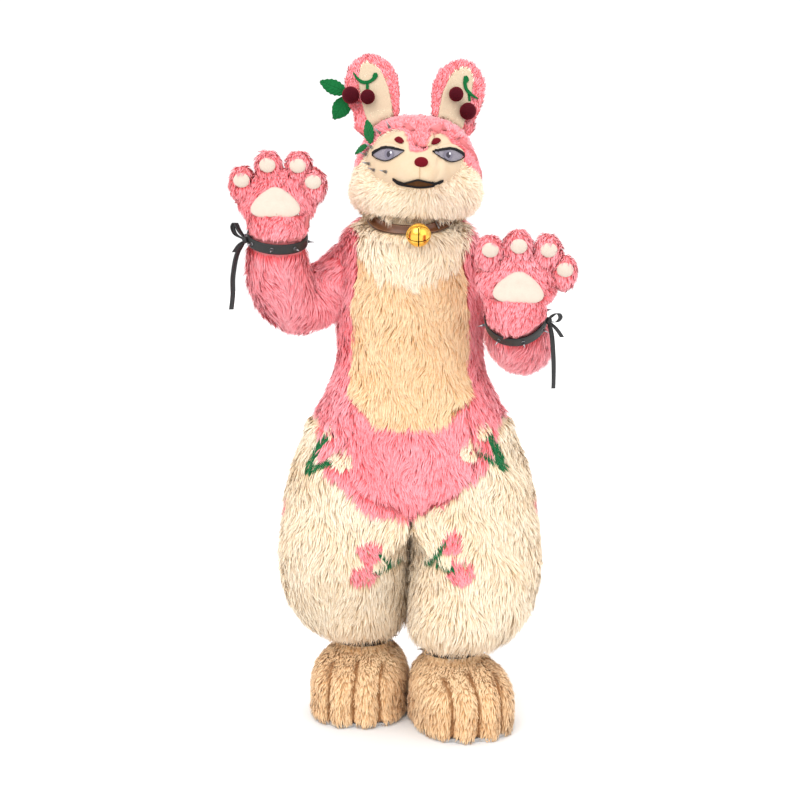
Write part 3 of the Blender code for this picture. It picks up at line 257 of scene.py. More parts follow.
furs = {name: furPaint(name, colours) for name, colours in furColours.items()}
backings = {name: backingPaint(name, colours) for name, colours in furColours.items()}
cherryVelvet = velvetPaint("cherryVelvet", (0.050, 0.001, 0.005), (0.28, 0.006, 0.022))
noseVelvet = velvetPaint("noseVelvet", (0.13, 0.002, 0.008), (0.34, 0.010, 0.026))
leafFelt = feltPaint("leafFelt", (0.001, 0.055, 0.014), (0.007, 0.18, 0.045))
blackLeather = leatherPaint("blackLeather", (0.003, 0.003, 0.003), (0.010, 0.010, 0.010), 0.5)
silver = metalPaint("silver", (0.24, 0.24, 0.26), (0.46, 0.46, 0.48), 0.27)
brass = metalPaint("brass", (0.80, 0.42, 0.05), (1.0, 0.66, 0.13), 0.14)
blackSatin = satinPaint()
padFleece = fleecePaint()
eyeMesh = eyePaint()
lashFelt = plainPaint("lashFelt", (0.004, 0.004, 0.005), (0.015, 0.013, 0.014), 0.6)
lidFleece = plainPaint("lidFleece", (0.50, 0.38, 0.25), (0.70, 0.59, 0.44), 0.9, 420.0)
mouthFelt = plainPaint("mouthFelt", (0.05, 0.02, 0.006), (0.10, 0.04, 0.012), 0.85)
soleRubber = plainPaint("soleRubber", (0.32, 0.31, 0.31), (0.50, 0.49, 0.48), 0.7, 260.0)
print("materials made")


def placed(name, data):
    made = bpy.data.objects.new(name, data)
    bpy.context.scene.collection.objects.link(made)
    return made


def linked(name, mesh, material, body="suit"):
    mesh.materials.append(material)
    made = placed(name, mesh)
    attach(made, body)
    return made


def fromBmesh(name, b, material, body="suit"):
    mesh = bpy.data.meshes.new(name)
    b.to_mesh(mesh)
    b.free()
    mesh.shade_smooth()
    return linked(name, mesh, material, body)


def modifier(thing, kind, **settings):
    made = thing.modifiers.new(kind.lower(), kind)
    for key, value in settings.items():
        setattr(made, key, value)


def merged(node):
    # A CAD node's mesh is loose triangles, so a copy of it is merged before it is worked on.
    b = bmesh.new()
    b.from_mesh(nodes[node].data)
    bmesh.ops.remove_doubles(b, verts=b.verts, dist=mergeGap)
    b.normal_update()
    return b


# The lines that the hollows run along: what faces away from them is outside.
def bezier(points, count):
    p0, p1, p2, p3 = (Vector(point) for point in points)
    line = []
    for i in range(count + 1):
        t = i / count
        s = 1 - t
        line.append(p0 * s ** 3 + p1 * 3 * s * s * t + p2 * 3 * s * t * t + p3 * t ** 3)
    return line


armPoints = {
    "left": [(-0.128, 0.005, -0.028), (-0.265, 0.010, -0.185), (-0.395, -0.060, -0.250),
             (-0.366, -0.165, 0.035)],
    "right": [(0.128, 0.005, -0.028), (0.350, 0.060, -0.220), (0.318, -0.080, -0.390),
              (0.279, -0.295, -0.185)],
}
cores = {
    "trunk": [[(0, 0, -0.70), (0, 0, 0.12)]],
    "head": [[(0.0, -0.03, 0.14), (0.03, -0.03, 0.26)]],
    "legLeft": [[(-0.17, 0.02, -0.60), (-0.19, 0.05, -0.90), (-0.165, 0.10, -1.07),
                 (-0.142, 0.105, -1.20)]],
    "legRight": [[(0.17, 0.02, -0.60), (0.19, 0.01, -0.90), (0.150, -0.01, -1.07),
                  (0.128, -0.015, -1.20)]],
    "armLeft": [bezier(armPoints["left"], 16)],
    "armRight": [bezier(armPoints["right"], 16)],
    "footLeft": [[(-0.142, 0.15, -1.34), (-0.142, 0.105, -1.27)],
                 [(-0.142, 0.15, -1.34), (-0.155, -0.07, -1.34)]],
    "footRight": [[(0.128, 0.03, -1.34), (0.128, -0.015, -1.27)],
                  [(0.128, 0.03, -1.34), (0.080, -0.185, -1.34)]],
}
# Finger lobes as (across, up, forward, radius) from the wrist.
hands = {
    "left": {"wrist": (-0.366, -0.165, 0.035), "up": (0.0, -0.0995, 0.995),
             "forward": (0.0, -0.995, -0.0995), "across": (1.0, 0.0, 0.0),
             "lobes": [(-0.0915, 0.139, 0.012, 0.036), (-0.021, 0.179, 0.010, 0.037),
                       (0.061, 0.1775, 0.010, 0.037), (0.102, 0.1345, 0.016, 0.034)]},
    "right": {"wrist": (0.279, -0.295, -0.185), "up": (0.0494, -0.1482, 0.9877),
              "forward": (-0.0074, -0.989, -0.148), "across": (0.9988, 0.0, -0.0499),
              "lobes": [(-0.080, 0.173, 0.016, 0.035), (-0.006, 0.186, 0.010, 0.038),
                        (0.073, 0.180, 0.010, 0.037), (0.120, 0.130, 0.012, 0.034)]},
}


def handPlace(hand, across, up, forward=0.0):
    wrist, ups = Vector(hand["wrist"]), Vector(hand["up"])
    return (wrist + Vector(hand["across"]) * across + ups * up
            + Vector(hand["forward"]) * forward)


for side, hand in hands.items():
    palm = handPlace(hand, 0.0, 0.084)
    lines = [[handPlace(hand, 0, -0.05), palm], [handPlace(hand, -0.05, 0.084),
                                                handPlace(hand, 0.05, 0.084)]]
    for across, up, forward, radius in hand["lobes"]:
        lines.append([palm, handPlace(hand, across, up, forward)])
    cores["hand" + side.capitalize()] = lines


def awayFrom(lines, points):
    # Directions from the nearest place on a set of lines to each point.
    best = np.full(len(points), 1e9)
    away = np.zeros((len(points), 3))
    for line in lines:
        line = np.array([tuple(p) for p in line], float)
        for a, b in zip(line, line[1:]):
            d = b - a
            t = np.clip(((points - a) @ d) / (d @ d), 0, 1)
            offset = points - (a + t[:, None] * d)
            far = (offset ** 2).sum(1)
            nearer = far < best
            best[nearer] = far[nearer]
            away[nearer] = offset[nearer]
    return away / np.maximum(np.sqrt(best), 1e-6)[:, None]


def curve(table, column, at):
    # A table's column at a place that its first column holds.
    return np.interp(at, [row[0] for row in table], [row[column] for row in table])


def unit(vectors):
    return vectors / np.maximum(np.linalg.norm(vectors, axis=-1, keepdims=True), 1e-9)


# How squarely a face looks away from its core to be outside, and how far the edges of two
# panels reach over their seam.
outwardShare = 0.30
seamReach = 0.0025
mergeGap = 0.00002


def outerSheet(node, core, inset, cuts):
    # The outward half of a wall, smoothed and drawn in under the pile.
    b = merged(node)
    faces = list(b.faces)
    centres = np.array([tuple(face.calc_center_median()) for face in faces])
    normals = np.array([tuple(face.normal) for face in faces])
    outward = (awayFrom(cores[core], centres) * normals).sum(1) > outwardShare
    bmesh.ops.delete(b, geom=[face for face, out in zip(faces, outward) if not out],
                     context="FACES")
    bmesh.ops.subdivide_edges(b, edges=b.edges, cuts=cuts, smooth=0.8, use_grid_fill=True)
    bmesh.ops.triangulate(b, faces=b.faces)
    b.normal_update()
    for vert in b.verts:
        vert.co -= vert.normal * inset
    # The edges reach a little over the seams, so nothing shows between two panels.
    rim = {}
    for edge in b.edges:
        if edge.is_boundary:
            middle = edge.link_faces[0].calc_center_median()
            for vert in edge.verts:
                rim.setdefault(vert, []).append((vert.co - middle).normalized())
    for vert, ways in rim.items():
        way = sum(ways, Vector())
        vert.co += (way - vert.normal * way.dot(vert.normal)).normalized() * seamReach
    b.normal_update()
    return b


def pulled(b, depth):
    # Draws a sheet in by a depth that depends on the place.
    points = np.array([tuple(vert.co) for vert in b.verts])
    for vert, far in zip(b.verts, depth(points)):
        vert.co -= vert.normal * float(far)
    b.normal_update()


def skinArrays(b):
    corners = np.array([[tuple(v.co) for v in face.verts] for face in b.faces])
    normals = np.array([[tuple(v.normal) for v in face.verts] for face in b.faces])
    return corners, normals


# Cherries and stems that are dyed into the pile: place, radius and the way they face. They are
# looked up lower than the roots, because the locks hang, and their locks are sheared.
dye = {"drop": 0.009, "stemHalf": 0.0105, "front": -0.1, "side": 0.7, "sideFrom": 0.27,
       "sheared": 0.35}
berries = [
    (-0.116, -0.863, 0.038, "front"), (-0.134, -0.942, 0.041, "front"),
    (0.118, -0.839, 0.038, "front"), (0.141, -0.922, 0.042, "front"),
    (-0.226, -0.540, 0.018, "front"), (-0.192, -0.612, 0.032, "front"),
    (0.203, -0.533, 0.024, "front"), (0.170, -0.586, 0.030, "front"),
    (0.040, -0.700, 0.032, "side"), (-0.020, -0.770, 0.032, "side"),
]
stems = [
    [(-0.085, -0.872), (-0.062, -0.900), (-0.050, -0.922), (-0.032, -0.913)],
    [(-0.104, -0.930), (-0.070, -0.926), (-0.050, -0.922)],
    [(0.090, -0.846), (0.068, -0.872), (0.062, -0.896), (0.045, -0.902)],
    [(0.110, -0.914), (0.082, -0.904), (0.062, -0.896)],
    [(-0.238, -0.553), (-0.262, -0.590), (-0.286, -0.655)],
    [(-0.222, -0.622), (-0.250, -0.630), (-0.280, -0.645)],
    [(0.222, -0.552), (0.240, -0.582), (0.262, -0.640)],
    [(0.198, -0.592), (0.228, -0.610), (0.262, -0.640)],
]


def dyed(points, normals):
    points = points - np.array([0.0, 0.0, dye["drop"]])
    berry, stem = np.zeros(len(points)), np.zeros(len(points))
    front = normals[:, 1] < dye["front"]
    flank = (np.abs(normals[:, 0]) > dye["side"]) & (np.abs(points[:, 0]) > dye["sideFrom"])
    for a, z, radius, facing in berries:
        across = points[:, 0 if facing == "front" else 1] - a
        near = across ** 2 + (points[:, 2] - z) ** 2 < radius ** 2
        berry[near & (front if facing == "front" else flank)] = 1.0
    flat = points[:, [0, 2]]
    for line in stems:
        for a, c in zip(line, line[1:]):
            a, d = np.array(a), np.array(c) - np.array(a)
            t = np.clip(((flat - a) @ d) / (d @ d), 0, 1)
            far = np.linalg.norm(flat - (a + t[:, None] * d), axis=1)
            stem[front & (far < dye["stemHalf"])] = 1.0
    return berry, stem


def markZone(base, shade):
    points = np.array([tuple(vert.co) for vert in base.data.vertices])
    zone = shade(points, np.tile((0.0, -1.0, 0.0), (len(points), 1)))
    colour = np.stack([zone * 0, zone * 0, zone, zone * 0 + 1], 1).astype(np.float32)
    attribute = base.data.attributes.new("patch", "FLOAT_COLOR", "POINT")
    attribute.data.foreach_set("color", colour.ravel())


mostLocks = 60000
# Slow waves in the lie of the pile: size, direction and start.
pileWaves = [(1.0, (31.0, 24.0, 19.0), 1.3), (0.7, (-17.0, 38.0, 43.0), 0.4),
             (0.4, (75.0, -52.0, 61.0), 2.1)]
# What a pile's locks have unless its piece says otherwise.
usualPile = {"swirl": 0.35, "stray": 0.16, "lift": 0.34, "tuft": 0.00028, "clump": 0.38,
             "droop": 0.12, "arch": 0.10, "width": 0.0030, "towardsLight": (0, -0.1, 0.2)}


def growFur(name, skin, material, look, seed):
    # One joined mesh of flat tapering locks, drawn together into tufts.
    rng = np.random.default_rng(seed)
    look = {**usualPile, **look}
    corners, cornerNormals = skin
    area = np.linalg.norm(np.cross(corners[:, 1] - corners[:, 0],
                                   corners[:, 2] - corners[:, 0]), axis=1) / 2
    count = min(int(area.sum() * look["density"]), mostLocks)
    pick = rng.choice(len(area), count, p=area / area.sum())
    u, v = rng.random(count), rng.random(count)
    flip = u + v > 1
    u[flip], v[flip] = 1 - u[flip], 1 - v[flip]
    weights = np.stack([1 - u - v, u, v], 1)[:, :, None]
    roots = (corners[pick] * weights).sum(1)
    normals = unit((cornerNormals[pick] * weights).sum(1))
    if "keep" in look:
        stays = look["keep"](roots, normals)
        roots, normals = roots[stays], normals[stays]
    count = len(roots)
    length = look["length"](roots, normals) if callable(look["length"]) else look["length"]
    length = np.broadcast_to(length, (count,)) * rng.uniform(0.75, 1.15, count)
    berry, stem = dyed(roots, normals)
    length = length * (1 - dye["sheared"] * np.maximum(berry, stem))
    flow = look["flow"](roots, normals)
    flow = unit(flow - normals * (flow * normals).sum(1)[:, None])
    turn = look["swirl"] * sum(size * np.sin(roots @ np.array(way) + start)
                               for size, way, start in pileWaves)
    flow = (flow * np.cos(turn)[:, None]
            + np.cross(normals, flow) * np.sin(turn)[:, None])
    flow = unit(flow + rng.normal(0, look["stray"], (count, 3)))
    lift = look["lift"] * rng.uniform(0.7, 1.35, count)
    ways = unit(flow + normals * lift[:, None])
    tips = roots + ways * length[:, None]
    tufts = max(1, int(area.sum() / look["tuft"]))
    centres = rng.choice(count, min(tufts, count), replace=False)
    tree = KDTree(len(centres))
    for i, c in enumerate(centres):
        tree.insert(roots[c], i)
    tree.balance()
    owner = centres[np.array([tree.find(p)[1] for p in roots])]
    spread = np.linalg.norm(roots - roots[owner], axis=1)
    pull = look["clump"] * np.exp(-(spread / 0.02) ** 2)
    shared = (roots[owner] + ways[owner] * length[:, None]
              + normals * (rng.normal(0, 0.0012, count))[:, None])
    tips = tips + (shared - tips) * pull[:, None]
    tips -= np.array([0, 0, 1.0]) * (look["droop"] * length)[:, None]
    middle = roots + (tips - roots) * 0.5 + normals * (length * look["arch"])[:, None]
    side = unit(np.cross(normals, tips - roots) + rng.normal(0, 0.25, (count, 3))
                * length[:, None])
    width = look["width"] * rng.uniform(0.7, 1.3, count)
    width *= np.clip(length / 0.012, 0.6, 1.0)
    low = roots - normals * 0.001
    shares = [(low, 0.95, 0.0), (middle, 0.95, 0.55)]
    face = np.array([[0, 3, 1], [0, 2, 3], [2, 4, 3]])
    size = 2 * len(shares) + 1
    verts = np.empty((count, size, 3), np.float32)
    for i, (line, wide, _) in enumerate(shares):
        verts[:, 2 * i] = line - side * (width * wide / 2)[:, None]
        verts[:, 2 * i + 1] = line + side * (width * wide / 2)[:, None]
    verts[:, -1] = tips
    verts[:, :, 2] = np.maximum(verts[:, :, 2], floorHeight + 0.0005)
    faces = (np.arange(count)[:, None, None] * size + face[None]).reshape(-1, 3)
    mesh = bpy.data.meshes.new(name)
    mesh.vertices.add(count * size)
    mesh.vertices.foreach_set("co", verts.ravel())
    mesh.loops.add(len(faces) * 3)
    mesh.loops.foreach_set("vertex_index", faces.ravel().astype(np.int32))
    mesh.polygons.add(len(faces))
    mesh.polygons.foreach_set("loop_start", np.arange(0, len(faces) * 3, 3, dtype=np.int32))
    mesh.polygons.foreach_set("use_smooth", np.ones(len(faces), bool))
    mesh.update(calc_edges=True)
    along = np.array([share for _, _, share in shares for _ in (0, 1)] + [1.0])
    own = rng.random(count)
    strand = np.empty((count, size, 2), np.float32)
    strand[:, :, 0] = own[:, None]
    strand[:, :, 1] = along[None]
    layer = mesh.uv_layers.new(name="strand")
    layer.data.foreach_set("uv", strand.reshape(-1, 2)[faces.ravel()].ravel())
    shade = look["shade"](roots, normals) if "shade" in look else np.zeros(count)
    colour = np.stack([berry, stem, shade, np.ones(count)], 1).astype(np.float32)
    attribute = mesh.attributes.new("patch", "FLOAT_COLOR", "POINT")
    attribute.data.foreach_set("color", np.repeat(colour, size, 0).ravel())
    bent = unit(normals * 0.9 + unit(tips - roots) * 0.25 + rng.normal(0, 0.16, (count, 3))
                + np.array(look["towardsLight"]))
    perPoint = np.repeat(bent, size, 0).astype(np.float32)
    perPoint[size - 1::size] = unit(bent + flow * 0.3)
    mesh.normals_split_custom_set_from_vertices(perPoint.tolist())
    return linked(name, mesh, material), len(faces)


def towards(x, y, z):
    return lambda roots, normals: np.tile(np.array([x, y, z], float), (len(roots), 1))


def smoothStep(low, high, values):
    t = np.clip((values - low) / (high - low), 0, 1)
    return t * t * (3 - 2 * t)


# The head's pile runs away from here.
nosePlace = np.array([0.024, -0.26, 0.205])

# The bib's jagged hem, as x and z seen from the front.
bibHem = [(-0.185, 0.12), (-0.165, 0.10), (-0.150, 0.04), (-0.134, 0.0), (-0.118, -0.035),
          (-0.106, -0.056), (-0.095, -0.040), (-0.082, -0.062), (-0.067, -0.084),
          (-0.055, -0.070), (-0.040, -0.085), (-0.020, -0.100), (-0.003, -0.120),
          (0.015, -0.102), (0.035, -0.085), (0.056, -0.078), (0.068, -0.064), (0.082, -0.082),
          (0.100, -0.062), (0.125, -0.062), (0.135, -0.042), (0.150, -0.020), (0.167, 0.04),
          (0.178, 0.10), (0.20, 0.12)]


def bibShade(roots, normals):
    return ((roots[:, 2] > curve(bibHem, 1, roots[:, 0])) & (roots[:, 1] < 0.01)) * 1.0


# The lower edge of the pink at the hips and the front of the legs, as x and z from the front.
hipEdge = [(-0.285, -0.40), (-0.275, -0.45), (-0.263, -0.51), (-0.252, -0.60),
           (-0.238, -0.645), (-0.179, -0.680), (-0.129, -0.743), (-0.039, -0.764),
           (0.0, -0.775), (0.025, -0.749), (0.095, -0.712), (0.160, -0.672), (0.210, -0.636),
           (0.230, -0.585), (0.252, -0.50), (0.265, -0.45), (0.28, -0.40)]


def hipShade(roots, normals):
    return ((roots[:, 2] > curve(hipEdge, 1, roots[:, 0])) & (roots[:, 1] < 0.0)) * 1.0


def belowCollar(roots, normals):
    return roots[:, 2] + shoulderHeight - 0.36 * roots[:, 1] < 1.466


def hemLength(roots, normals):
    # Longer at the bottom of the legs, where the pile hangs over the ankle straps.
    return 0.034 + 0.016 * smoothStep(-1.08, -1.16, roots[:, 2])


feet = {"left": {"ankle": (-0.142, 0.105), "turn": -5.0},
        "right": {"ankle": (0.128, -0.015), "turn": 15.0}}


def toeGroove(side):
    # 1 in the grooves between the four toes, where the pile is shorter and painted shade darkens
    # it.
    foot = feet[side]
    turn = math.radians(foot["turn"])

    def near(roots, normals):
        x, y = roots[:, 0] - foot["ankle"][0], roots[:, 1] - foot["ankle"][1]
        across = x * math.cos(turn) + y * math.sin(turn)
        along = -x * math.sin(turn) + y * math.cos(turn)
        gap = np.min([np.abs(across - place) for place in (-0.072, 0.0, 0.072)], 0)
        return np.exp(-(gap / 0.008) ** 2) * smoothStep(-0.11, -0.15, along)

    return near


def footLength(side):
    groove = toeGroove(side)
    return lambda roots, normals: 0.024 - 0.017 * groove(roots, normals)


def headFlow(roots, normals):
    away = roots - nosePlace
    down = smoothStep(0.16, 0.06, roots[:, 2])[:, None] * np.array([0, 0, -0.16])
    return away + down


def headLength(roots, normals):
    # Short round the eyes and muzzle, longer over the crown, longest on the cheeks and jaw.
    front = smoothStep(0.02, -0.08, roots[:, 1])
    x, z = roots[:, 0] - 0.021, roots[:, 2]
    face = (x / np.where(x < 0, 0.140, 0.118)) ** 2 + ((z - 0.226) / 0.082) ** 2
    short = front * smoothStep(1.5, 0.85, face)
    shortest = 0.003 + 0.007 * (1 - creamZone(roots))
    cheek = smoothStep(0.20, 0.13, z)
    return (0.020 + 0.013 * cheek) * (1 - short) + shortest * short


def creamZone(points):
    # How far each point lies in the cream of the face: below a line over both brows that dips
    # between them, where the pink of the crown runs down to the muzzle.
    return (points[:, 2] < curve(creamEdge, 1, points[:, 0])) * 1.0


creamEdge = [(-0.165, 0.200), (-0.140, 0.212), (-0.122, 0.244), (-0.105, 0.264),
             (-0.085, 0.287), (-0.060, 0.301), (-0.035, 0.306), (-0.018, 0.300),
             (-0.008, 0.284), (-0.004, 0.248), (0.006, 0.242), (0.021, 0.241), (0.036, 0.242),
             (0.046, 0.248), (0.050, 0.280), (0.060, 0.293), (0.075, 0.297), (0.092, 0.290),
             (0.112, 0.272), (0.127, 0.252), (0.140, 0.232), (0.152, 0.205), (0.170, 0.190)]


def headShade(own):
    # Marks what belongs to the other colour: pink on the cream panel, cream on the pink one.
    def shade(roots, normals):
        cream = creamZone(roots)
        other = 1 - cream if own == "cream" else cream
        return other * (roots[:, 1] < -0.035)

    return shade


def offFace(roots, normals):
    # No locks on the short pile, nor where the eyes, brows, nose and mouth lie.
    x, z = roots[:, 0], roots[:, 2]
    bare = np.zeros(len(roots), bool)
    for a, c, wide, high in ((-0.060, 0.243, 0.046, 0.026), (0.103, 0.240, 0.046, 0.026),
                             (0.028, 0.212, 0.022, 0.018), (0.019, 0.160, 0.068, 0.016),
                             (-0.031, 0.274, 0.014, 0.011), (0.069, 0.271, 0.014, 0.011)):
        bare |= ((x - a) / wide) ** 2 + ((z - c) / high) ** 2 < 1
    short = headLength(roots, normals) < 0.0060 + 0.002 * np.sin(x * 900) * np.cos(z * 800)
    return ~((bare | short) & (roots[:, 1] < 0.0))


# The ends of the CAD's wrist bands, the outer face of each and the size of its spikes.
wrists = {"left": [(-0.3693, -0.1500, -0.0038), (-0.3672, -0.1606, 0.0230)],
          "right": [(0.2848, -0.2629, -0.2134), (0.2803, -0.2878, -0.1920)]}
bandRadius = {"wrist": 0.0847, "ankle": 0.0878}
spikeSize = {"strap": 0.020, "face": 0.026, "radius": 0.0045}


def offStrap(side):
    start, end = (np.array(point) for point in wrists[side])

    def keep(roots, normals):
        share = (roots - start) @ (end - start) / ((end - start) @ (end - start))
        near = np.linalg.norm(roots - (start + end) / 2, axis=1) < 0.12
        return ~(near & (share > -0.20) & (share < 1.85))

    return keep


def offPads(side):
    clear = offStrap(side)
    hand = hands[side]
    axes = np.array([hand["across"], hand["up"], hand["forward"]])
    wrist = np.array(hand["wrist"])

    def keep(roots, normals):
        local = (roots - wrist) @ axes.T
        front = local[:, 2] > 0.0
        inside = (local[:, 0] / 0.052) ** 2 + ((local[:, 1] - 0.078) / 0.032) ** 2 < 1
        for across, up, forward, radius in hand["lobes"]:
            inside |= (((local[:, 0] - across) / 0.019) ** 2
                       + ((local[:, 1] - up) / 0.018) ** 2 < 1)
        return ~(front & inside) & clear(roots, normals)

    return keep


down, sides = towards(0, 0, -1), ("left", "right")
# One entry for each garment piece: its core line, colour, how deep the cloth lies under the
# pile's tips, the pile itself, and the cut as width by length with its flat area.
suited = {"inset": 0.008, "cuts": 1, "flow": down}
trunk = {**suited, "core": "trunk"}
garments = {
    "trunk_back": {**trunk, "fur": "pink", "density": 54000, "length": 0.036,
                   "cut": (1.00, 0.95, 0.600), "shade": bibShade, "keep": belowCollar},
    "chest_bib": {**trunk, "fur": "cream", "density": 95000, "length": 0.038,
                  "cut": (0.34, 0.26, 0.052), "keep": belowCollar},
}
for side in sides:
    garments["belly_" + side] = {**trunk, "fur": "peach", "density": 90000, "length": 0.034,
                                 "cut": (0.20, 0.45, 0.075), "shade": bibShade}
garments["pelvis_front"] = {**trunk, "fur": "pink", "density": 82000, "length": 0.032,
                            "cut": (0.40, 0.38, 0.090)}
for part, density, cut in (("outer", 53000, (0.80, 0.75, 0.500)),
                           ("inner", 38000, (0.50, 0.52, 0.210))):
    for side in sides:
        garments[f"leg_{side}_{part}"] = {
            **suited, "core": "leg" + side.capitalize(), "fur": "cream", "cuts": 2,
            "density": density, "length": hemLength, "cut": cut, "shade": hipShade}
for side, cut in zip(sides, ((0.52, 0.45, 0.210), (0.52, 0.53, 0.250))):
    garments["sleeve_" + side] = {
        **suited, "core": "arm" + side.capitalize(), "fur": "pink", "cuts": 2, "density": 76000,
        "length": 0.036, "droop": 0.2, "cut": cut, "keep": offStrap(side), "swirl": 0.6}
head = {"core": "head", "inset": 0.003, "cuts": 2, "length": headLength, "flow": headFlow,
        "width": 0.0026, "fill": 0.9, "keep": offFace}
garments["head_face"] = {**head, "fur": "cream", "density": 150000,
                         "shade": headShade("cream"), "towardsLight": (0, -0.45, 0.35)}
garments["head_crown"] = {**head, "fur": "pink", "density": 105000, "shade": headShade("pink")}
for side in sides:
    garments["paw_" + side] = {
        "core": "hand" + side.capitalize(), "fur": "pink", "inset": 0.005, "cuts": 1,
        "density": 88000, "length": 0.018, "flow": down, "fill": 0.7, "keep": offPads(side)}
for side in sides:
    garments["foot_" + side] = {
        "core": "foot" + side.capitalize(), "fur": "tan", "inset": 0.006, "cuts": 2,
        "density": 62000, "length": footLength(side), "flow": towards(0, -0.3, -1),
        "width": 0.0034, "fill": 0.9, "shade": toeGroove(side), "swirl": 0.15}
furTriangles = 0
for seed, (node, look) in enumerate(garments.items()):
    b = outerSheet(node, look["core"], look["inset"], look["cuts"])
    if node.startswith("head"):
        pulled(b, lambda places: 0.008 * smoothStep(0.003, 0.014, headLength(places, places)))
    skin = skinArrays(b)
    area = sum(face.calc_area() for face in b.faces)
    base = fromBmesh(node + "_cloth", b, backings[look["fur"]])
    if "shade" in look:
        markZone(base, look["shade"])
    thick = 0.010 if "fill" in look else 0.003
    modifier(base, "SOLIDIFY", thickness=thick, offset=-1.0)
    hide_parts(node)
    fur, count = growFur(node + "_pile", skin, furs[look["fur"]], look, seed)
    furTriangles += count
    if "fill" in look:
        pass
    else:
        width, length, cutArea = look["cut"]
    print(node, "cloth area", round(area, 3), "pile triangles", count)
print("pile triangles in all", furTriangles)


def tree(b):
    return BVHTree.FromBMesh(b)


def surfacePiece(name, place, across, up, material, thick=0.0, body="suit", offset=-1.0):
    # A grid laid on place(u, v), u and v from 0 to 1; a closed outline is merged at its seam.
    b = bmesh.new()
    uv = b.loops.layers.uv.new("cloth")
    bmesh.ops.create_grid(b, x_segments=across, y_segments=up, size=0.5)
    for face in b.faces:
        for loop in face.loops:
            loop[uv].uv = (loop.vert.co.x + 0.5, loop.vert.co.y + 0.5)
    for vert in b.verts:
        vert.co = place(vert.co.x + 0.5, vert.co.y + 0.5)
    bmesh.ops.remove_doubles(b, verts=b.verts, dist=mergeGap)
    bmesh.ops.recalc_face_normals(b, faces=b.faces)
    made = fromBmesh(name, b, material, body)
    if thick:
        modifier(made, "SOLIDIFY", thickness=thick, offset=offset)
    return made


def ball(name, centre, radii, material, turn=None, segments=32, shape=None, body="suit"):
    b = bmesh.new()
    bmesh.ops.create_uvsphere(b, u_segments=segments, v_segments=segments // 2, radius=1.0)
    for vert in b.verts:
        if shape:
            vert.co = shape(vert.co)
        spot = Vector(vert.co[i] * radii[i] for i in range(3))
        vert.co = Vector(centre) + (turn @ spot if turn else spot)
    return fromBmesh(name, b, material, body)


def spike(b, at, out, length, radius):
    # A turned metal cone with a rounded foot.
    turn = Vector(out).to_track_quat("Z", "Y").to_matrix().to_4x4()
    middle = Matrix.Translation(Vector(at) + Vector(out) * length / 2) @ turn
    bmesh.ops.create_cone(b, segments=20, radius1=radius, radius2=0.0004, depth=length,
                          cap_ends=True, matrix=middle)
    foot = Matrix.Translation(Vector(at) + Vector(out) * 0.0008) @ turn
    bmesh.ops.create_cone(b, segments=20, radius1=radius * 1.04, radius2=radius,
                          depth=0.0016, cap_ends=True, matrix=foot)


def wave(points):
    # A smooth curve through points, as a function of its share from 0 to 1.
    points = [Vector(point) for point in points]

    def at(share):
        place = min(max(share, 0.0), 1.0) * (len(points) - 1)
        i = min(int(place), len(points) - 2)
        t = place - i
        a, b, c, d = (points[min(max(k, 0), len(points) - 1)] for k in range(i - 1, i + 3))
        return (b * 2 + (c - a) * t + (a * 2 - b * 5 + c * 4 - d) * t * t
                + (b * 3 - a - c * 3 + d) * t ** 3) / 2

    return at


def onSkin(skinTree, x, z, out=0.0):
    spot, normal, _, _ = skinTree.ray_cast(Vector((x, -1.0, z)), Vector((0, 1, 0)))
    if spot is None:
        spot, normal, _, _ = skinTree.find_nearest(Vector((x, -0.05, z)))
    return spot + normal * out


# The ears: the shell in pink pile, and a cream panel let into the front.
earLines = {"left": [(-0.080, 0.004, 0.26), (-0.128, 0.010, 0.53)],
            "right": [(0.108, 0.004, 0.25), (0.160, 0.010, 0.515)]}
earPile = {"density": 110000, "droop": 0.0}
earInset = 0.003
earSkins = {}


# The cream panel of an ear: share of the way up, half width, and how far it leans inwards.
earPanelRows = [(0.00, 0.026, 0.010), (0.20, 0.035, 0.010), (0.45, 0.041, 0.009),
                (0.65, 0.041, 0.008), (0.78, 0.034, 0.006), (0.86, 0.022, 0.004),
                (0.90, 0.004, 0.002)]


def earPanelAt(side, share):
    base, tip = (np.array(point) for point in earLines[side])
    inward = 1 if side == "left" else -1
    middle = base[0] + (tip - base)[0] * share + inward * curve(earPanelRows, 2, share)
    return middle, curve(earPanelRows, 1, share)


def earZone(side):
    base, tip = (np.array(point) for point in earLines[side])

    def zone(roots, normals):
        share = (roots[:, 2] - base[2]) / (tip - base)[2]
        middle, half = earPanelAt(side, share)
        return ((normals[:, 1] < -0.25) & (np.abs(roots[:, 0] - middle) < half)
                & (share < 0.9)) * 1.0

    return zone


def earPanel(side):
    base, tip = (np.array(point) for point in earLines[side])

    def place(u, v):
        share = v * 0.9
        middle, half = earPanelAt(side, share)
        return onSkin(earSkins[side], float(middle + half * (u * 2 - 1)),
                      float(base[2] + (tip - base)[2] * share), 0.004)

    panel = surfacePiece("ear_" + side + "_panel", place, 16, 36, lidFleece, 0.002)
    b = bmesh.new()
    b.from_mesh(panel.data)
    bmesh.ops.triangulate(b, faces=b.faces)
    b.normal_update()
    skin = skinArrays(b)
    b.free()
    return panel, skin


